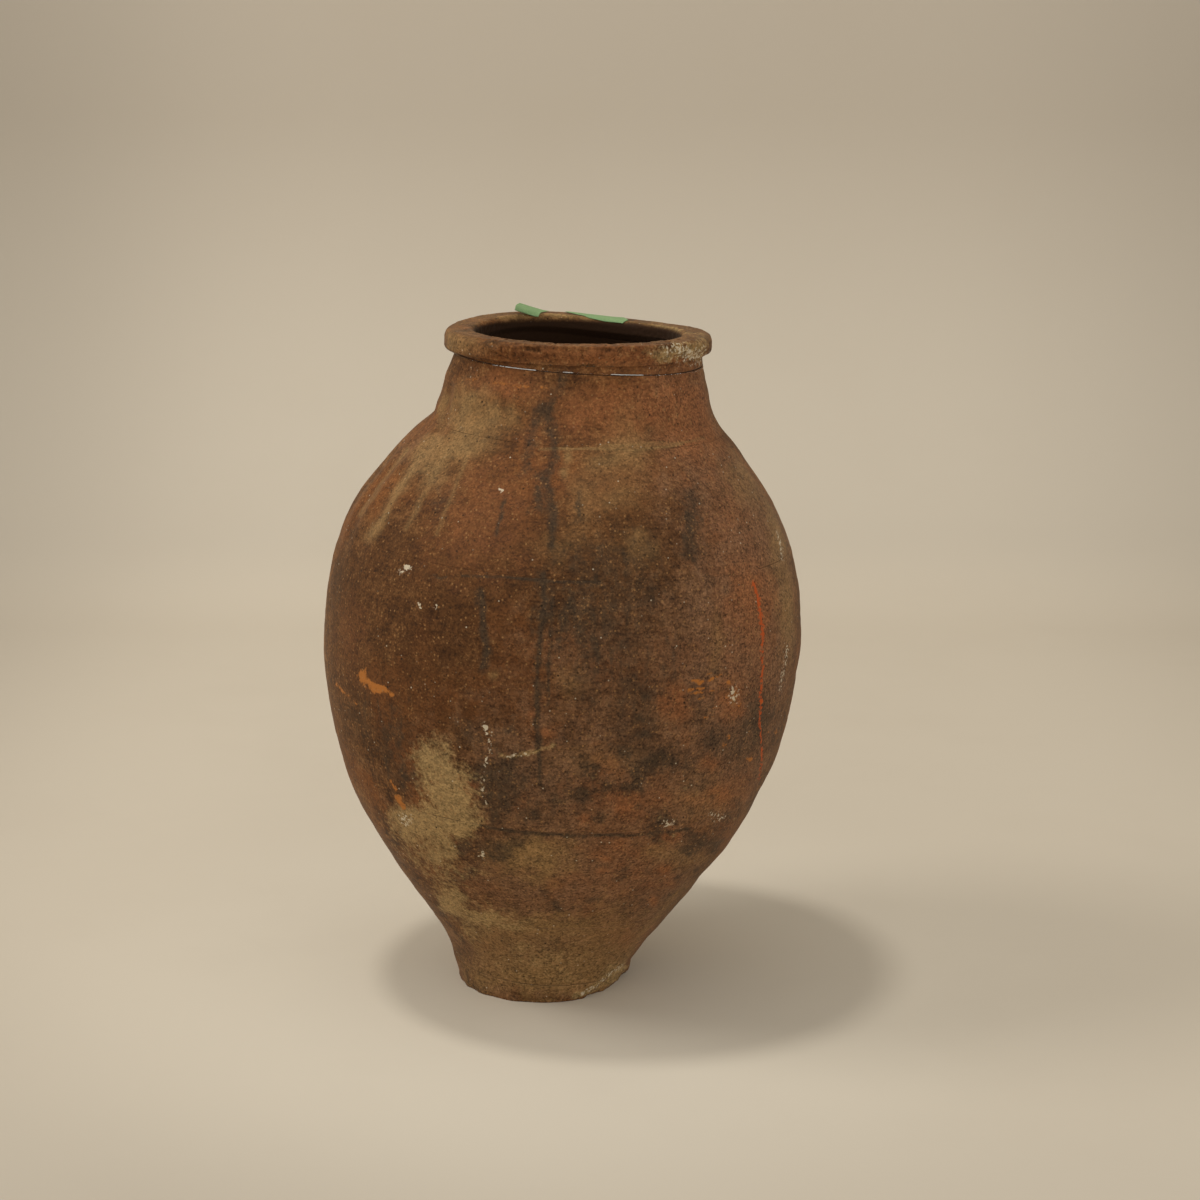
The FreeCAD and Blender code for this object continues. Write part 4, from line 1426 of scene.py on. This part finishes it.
def stage_material():
    """Pale studio sweep with a few faint smudges, and painted falloff of light: darker up the backdrop and
    away from the jar, towards the front, the left and the sides.
    """
    shader = Shader(bpy.data.materials.new("studio_sweep"))
    x = shader.add("SeparateXYZ", "X", {"Vector": shader.place})
    y = x.node.outputs["Y"]
    height = x.node.outputs["Z"]
    colour = shader.mix(shader.step(0.0, WALL_FADE_HEIGHTS[0], height), FLOOR_TONE, WALL_TONE)
    colour = shader.mix(shader.step(*WALL_FADE_HEIGHTS, height), colour, WALL_TOP_TONE)
    reach = shader.math("SQRT", shader.math("ADD", shader.times(x, x), shader.times(y, y)))
    nearer = shader.times(y, -1.0)
    leftward = shader.times(x, -1.0)
    corner = shader.math("ADD", nearer, leftward)
    aside = shader.math("ABSOLUTE", x)
    fades = [
        (reach, FAR_FADE, SMUDGE_AND_FALLOFF_TONE),
        (nearer, FRONT_FADE, SIDE_TONE),
        (leftward, LEFT_FADE, SIDE_TONE),
        (corner, CORNER_FADE, SIDE_TONE),
        (aside, SIDE_FADE, SIDE_TONE),
    ]
    for value, (start, end, *shares), tone in fades:
        colour = shader.mix(shader.step(start, end, value, *shares), colour, tone)
    smudge = shader.step(0.45, 0.75, shader.noise(*SMUDGE_NOISE), 0.0, 0.08)
    colour = shader.mix(smudge, colour, SMUDGE_AND_FALLOFF_TONE)
    shader.look({"Base Color": colour, "Roughness": 0.9, "Specular IOR Level": 0.1})
    return shader.owner


def add_stage():
    """A floor that sweeps up into a backdrop."""
    turn = np.linspace(0, math.pi / 2, SWEEP_STEPS)
    sweep_y = WALL_BACK - SWEEP_RADIUS + SWEEP_RADIUS * np.sin(turn)
    sweep_z = SWEEP_RADIUS * (1 - np.cos(turn))
    outline = [(FLOOR_FRONT, 0.0), *zip(sweep_y, sweep_z), (WALL_BACK, WALL_TOP)]
    vertices = [(x, y, z) for y, z in outline for x in (-STAGE_HALF_WIDTH, STAGE_HALF_WIDTH)]
    faces = [(2 * i, 2 * i + 1, 2 * i + 3, 2 * i + 2) for i in range(len(outline) - 1)]
    mesh = bpy.data.meshes.new("studio_sweep")
    mesh.from_pydata(vertices, [], faces)
    mesh.polygons.foreach_set("use_smooth", np.ones(len(faces), bool))
    mesh.materials.append(stage_material())
    placed("studio_sweep", mesh)


KEY_PLACE = (-1.12, -0.31, 6.0)
KEY_WIDTH = 0.72
KEY_WATTS = 84.0
SIDE_PLACE = (-4.6, -0.35, 4.6)
SIDE_WIDTH = 2.6
SIDE_WATTS = 112.0
ROOM_LEVEL = 1.0
ROOM_SLOPE = (0.06, -0.12, -0.50)
ROOM_TONE = (1.0, 1.0, 1.0)
BEYOND_TONE = (0.56, 0.49, 0.385)


def add_lamp(name, place, width, watts):
    """A round lamp that faces the middle of the jar."""
    lamp = bpy.data.lights.new(name, "AREA")
    lamp.shape = "DISK"
    lamp.size = width
    lamp.energy = watts
    holder = placed(name, lamp)
    holder.location = place
    middle = (cad_low + cad_high) / 2
    holder.rotation_euler = (Vector(place) - middle).to_track_quat("Z", "Y").to_euler()


def add_light():
    """A lamp overhead and a softer one on the left, in a room that is brightest near the ground."""
    add_lamp("key", KEY_PLACE, KEY_WIDTH, KEY_WATTS)
    add_lamp("side", SIDE_PLACE, SIDE_WIDTH, SIDE_WATTS)
    world = bpy.data.worlds.new("room")
    bpy.context.scene.world = world
    room = Shader(world, "Background", "Generated")
    slope = room.add("VectorMath", "Value", {0: room.place, 1: ROOM_SLOPE}, operation="DOT_PRODUCT")
    room.look({"Strength": room.math("ADD", slope, ROOM_LEVEL), "Color": ROOM_TONE})
    beyond = room.add("Background", "Background", {"Color": BEYOND_TONE})
    seen = room.add("LightPath", "Is Camera Ray", {})
    choices = {0: seen, 1: room.surface.outputs["Background"], 2: beyond}
    choice = room.add("MixShader", "Shader", choices)
    room.put(room.tree.nodes["World Output"].inputs["Surface"], choice)


def add_camera():
    lens = bpy.data.cameras.new("camera")
    lens.sensor_fit = "HORIZONTAL"
    lens.sensor_width = SENSOR_MM
    lens.lens = SENSOR_MM * FOCAL_PX / PHOTO_PX
    camera = placed("camera", lens)
    camera.location = CAMERA_PLACE
    camera.rotation_euler = (math.pi / 2 - CAMERA_PITCH, 0, 0)
    bpy.context.scene.camera = camera
    bpy.context.scene.view_settings.view_transform = "Standard"


def main():
    clay = clay_material()
    tape = tape_material()
    slab = slab_piece(clay)
    joined(slab, "base_slab")
    paint(slab)
    for name in COURSES:
        course = course_piece(name, clay)
        joined(course, name)
        paint(course)
    rim, rim_grid = rim_piece(clay)
    joined(rim, "rim_roll")
    paint(rim)
    joined(slip_piece(slip_material()), "luting_slip")
    joined(line_piece(nylon_material()), "neck_line")
    joined(long_tape_piece(rim_grid, tape), "label_tape_long")
    joined(short_tape_piece(rim_grid, tape), "label_tape_short")
    add_stage()
    add_light()
    add_camera()


main()
